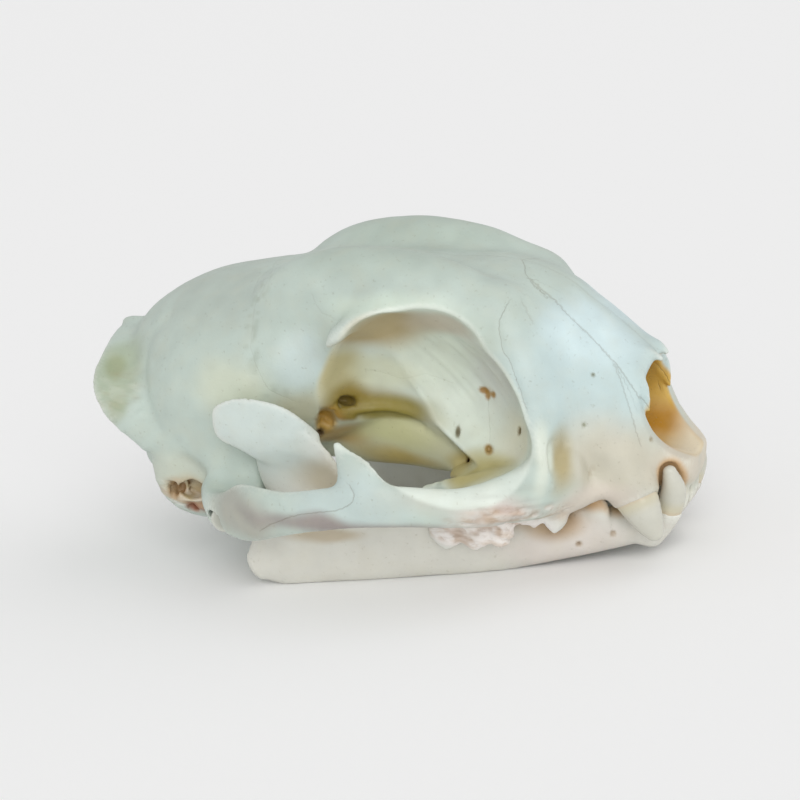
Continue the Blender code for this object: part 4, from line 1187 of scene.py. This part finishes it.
def build():
    """All pieces: both halves of the jaw, the canines and the cranium, each cleared of the others."""
    bone = surface("cleaned_bone", *BONE_SURFACE)
    jaw_bone = surface("jaw_bone", *BONE_SURFACE)
    enamel = surface("enamel", *ENAMEL_SURFACE)
    skull = cranium()
    for side, word in ((-1, "right"), (1, "left")):
        jaw = half_jaw(side)
        clear = BITE - sample(jaw, skull.axes)
        clear[:, side * skull.axes[1] < 0, :] = -FAR
        skull.value = np.maximum(skull.value, clear)
        skull.cut(grown(crown(LOWER_CANINE, side), BITE), CLEAR_BLEND)
        seat(skull, UPPER_CANINE, UPPER_GUM, side)
        seat(jaw, LOWER_CANINE, LOWER_GUM, side)
        jaw.cut(grown(crown(UPPER_CANINE, side), BITE), CLEAR_BLEND)
        jaw.keep(slab((0, side * GAP / 2, 0), (0, -side, 0)))
        jaw.cut(bulge(side, *JOINT_TRIM), 0.6)
        fine_forms(skull, side)
        bored(jaw, JAW_HOLES, side)
        points, quads, known = weathered(jaw, ROUGH_JAW, False)
        piece(f"jaw_{word}", points, quads, jaw_paint(known), known, jaw_bone,
              [f"mandible_{word}"])
        for kind, form, cut in (("upper", UPPER_CANINE, UPPER_GUM), ("lower", LOWER_CANINE, LOWER_GUM)):
            points, quads = bare_mesh(seated_canine(form, cut, side))
            none = np.zeros(len(points))
            known = {"seam": none + 1, "weight": none, "rough": none}
            piece(f"{kind}_canine_{word}", points, quads, canine_paint(points, cut, side), known, enamel,
                  [f"canine_{kind}_{word}"])
    points, quads, known = weathered(skull, ROUGH_SKULL, True)
    piece("cranium", points, quads, cranium_paint(known), known, bone,
          ["braincase", "face", "zygomatic_arch_left", "zygomatic_arch_right", "auditory_bulla_left",
           "auditory_bulla_right"])


# Light, floor and camera

CAMERA_AZIMUTH = 20.0       # degrees towards the nose from the right side, in the skull's own frame
CAMERA_ELEVATION = 18.0
CAMERA_DISTANCE = 400.0
CAMERA_TARGET = (0.0, 0.0, 28.1)
FOCAL = 92.8                # millimetres, on a sensor 36 wide
SKY_STRENGTH = 0.62
BACKGROUND = 0.85           # grey that the camera sees behind the floor
PAPER = 0.97                # grey of the floor
FLOOR_REACH = 12.0          # metres
# Lamps: name, direction, strength and width in degrees
LAMPS = (("key", (0.42, -0.95, 0.58), 1.2, 45), ("fill", (0.9, 0.5, 0.9), 0.35, 70))


def lamp(name, place, energy, angle):
    """A broad soft light from the direction of place."""
    data = bpy.data.lights.new(name, "SUN")
    data.energy = energy
    data.angle = math.radians(angle)
    body = placed(name, data)
    body.rotation_euler = Vector(place).to_track_quat("Z", "Y").to_euler()
    body.location = place


def sky():
    """Even white light all round, which the camera sees as pale grey."""
    world = bpy.data.worlds.new("studio")
    world.use_nodes = True
    nodes = world.node_tree.nodes
    links = world.node_tree.links
    light = nodes["Background"]
    light.inputs["Color"].default_value = (1, 1, 1, 1)
    light.inputs["Strength"].default_value = SKY_STRENGTH
    seen = nodes.new("ShaderNodeBackground")
    seen.inputs["Color"].default_value = (BACKGROUND, BACKGROUND, BACKGROUND, 1)
    either = nodes.new("ShaderNodeMixShader")
    links.new(nodes.new("ShaderNodeLightPath").outputs["Is Camera Ray"], either.inputs["Fac"])
    links.new(light.outputs["Background"], either.inputs[1])
    links.new(seen.outputs["Background"], either.inputs[2])
    links.new(either.outputs["Shader"], nodes["World Output"].inputs["Surface"])
    bpy.context.scene.world = world


def floor():
    """A plain pale floor."""
    mesh = bpy.data.meshes.new("floor")
    corners = [(x * FLOOR_REACH, y * FLOOR_REACH, 0) for x, y in ((-1, -1), (1, -1), (1, 1), (-1, 1))]
    mesh.from_pydata(corners, [], [(0, 1, 2, 3)])
    paper = bpy.data.materials.new("paper")
    paper.use_nodes = True
    main = paper.node_tree.nodes["Principled BSDF"]
    main.inputs["Base Color"].default_value = (PAPER, PAPER, PAPER, 1)
    main.inputs["Roughness"].default_value = 0.9
    mesh.materials.append(paper)
    placed("floor", mesh)


def camera():
    """The camera at the photo's viewing angle."""
    data = bpy.data.cameras.new("camera")
    data.lens = FOCAL
    data.sensor_width = 36
    data.clip_start = 0.01
    azimuth = math.radians(CAMERA_AZIMUTH)
    elevation = math.radians(CAMERA_ELEVATION)
    away = Vector((math.sin(azimuth) * math.cos(elevation), -math.cos(azimuth) * math.cos(elevation),
                   math.sin(elevation)))
    aim = away.to_track_quat("Z", "Y").to_matrix().to_4x4()
    turn = stance().to_3x3().normalized().to_4x4()
    place = stance() @ (Vector(CAMERA_TARGET) + away * CAMERA_DISTANCE)
    body = placed("camera", data)
    body.matrix_world = Matrix.Translation(place) @ turn @ aim
    bpy.context.scene.camera = body


def studio():
    """Light, floor and camera, with colours shown as they are."""
    bpy.context.scene.view_settings.view_transform = "Standard"
    sky()
    floor()
    for row in LAMPS:
        lamp(*row)
    camera()


build()
studio()
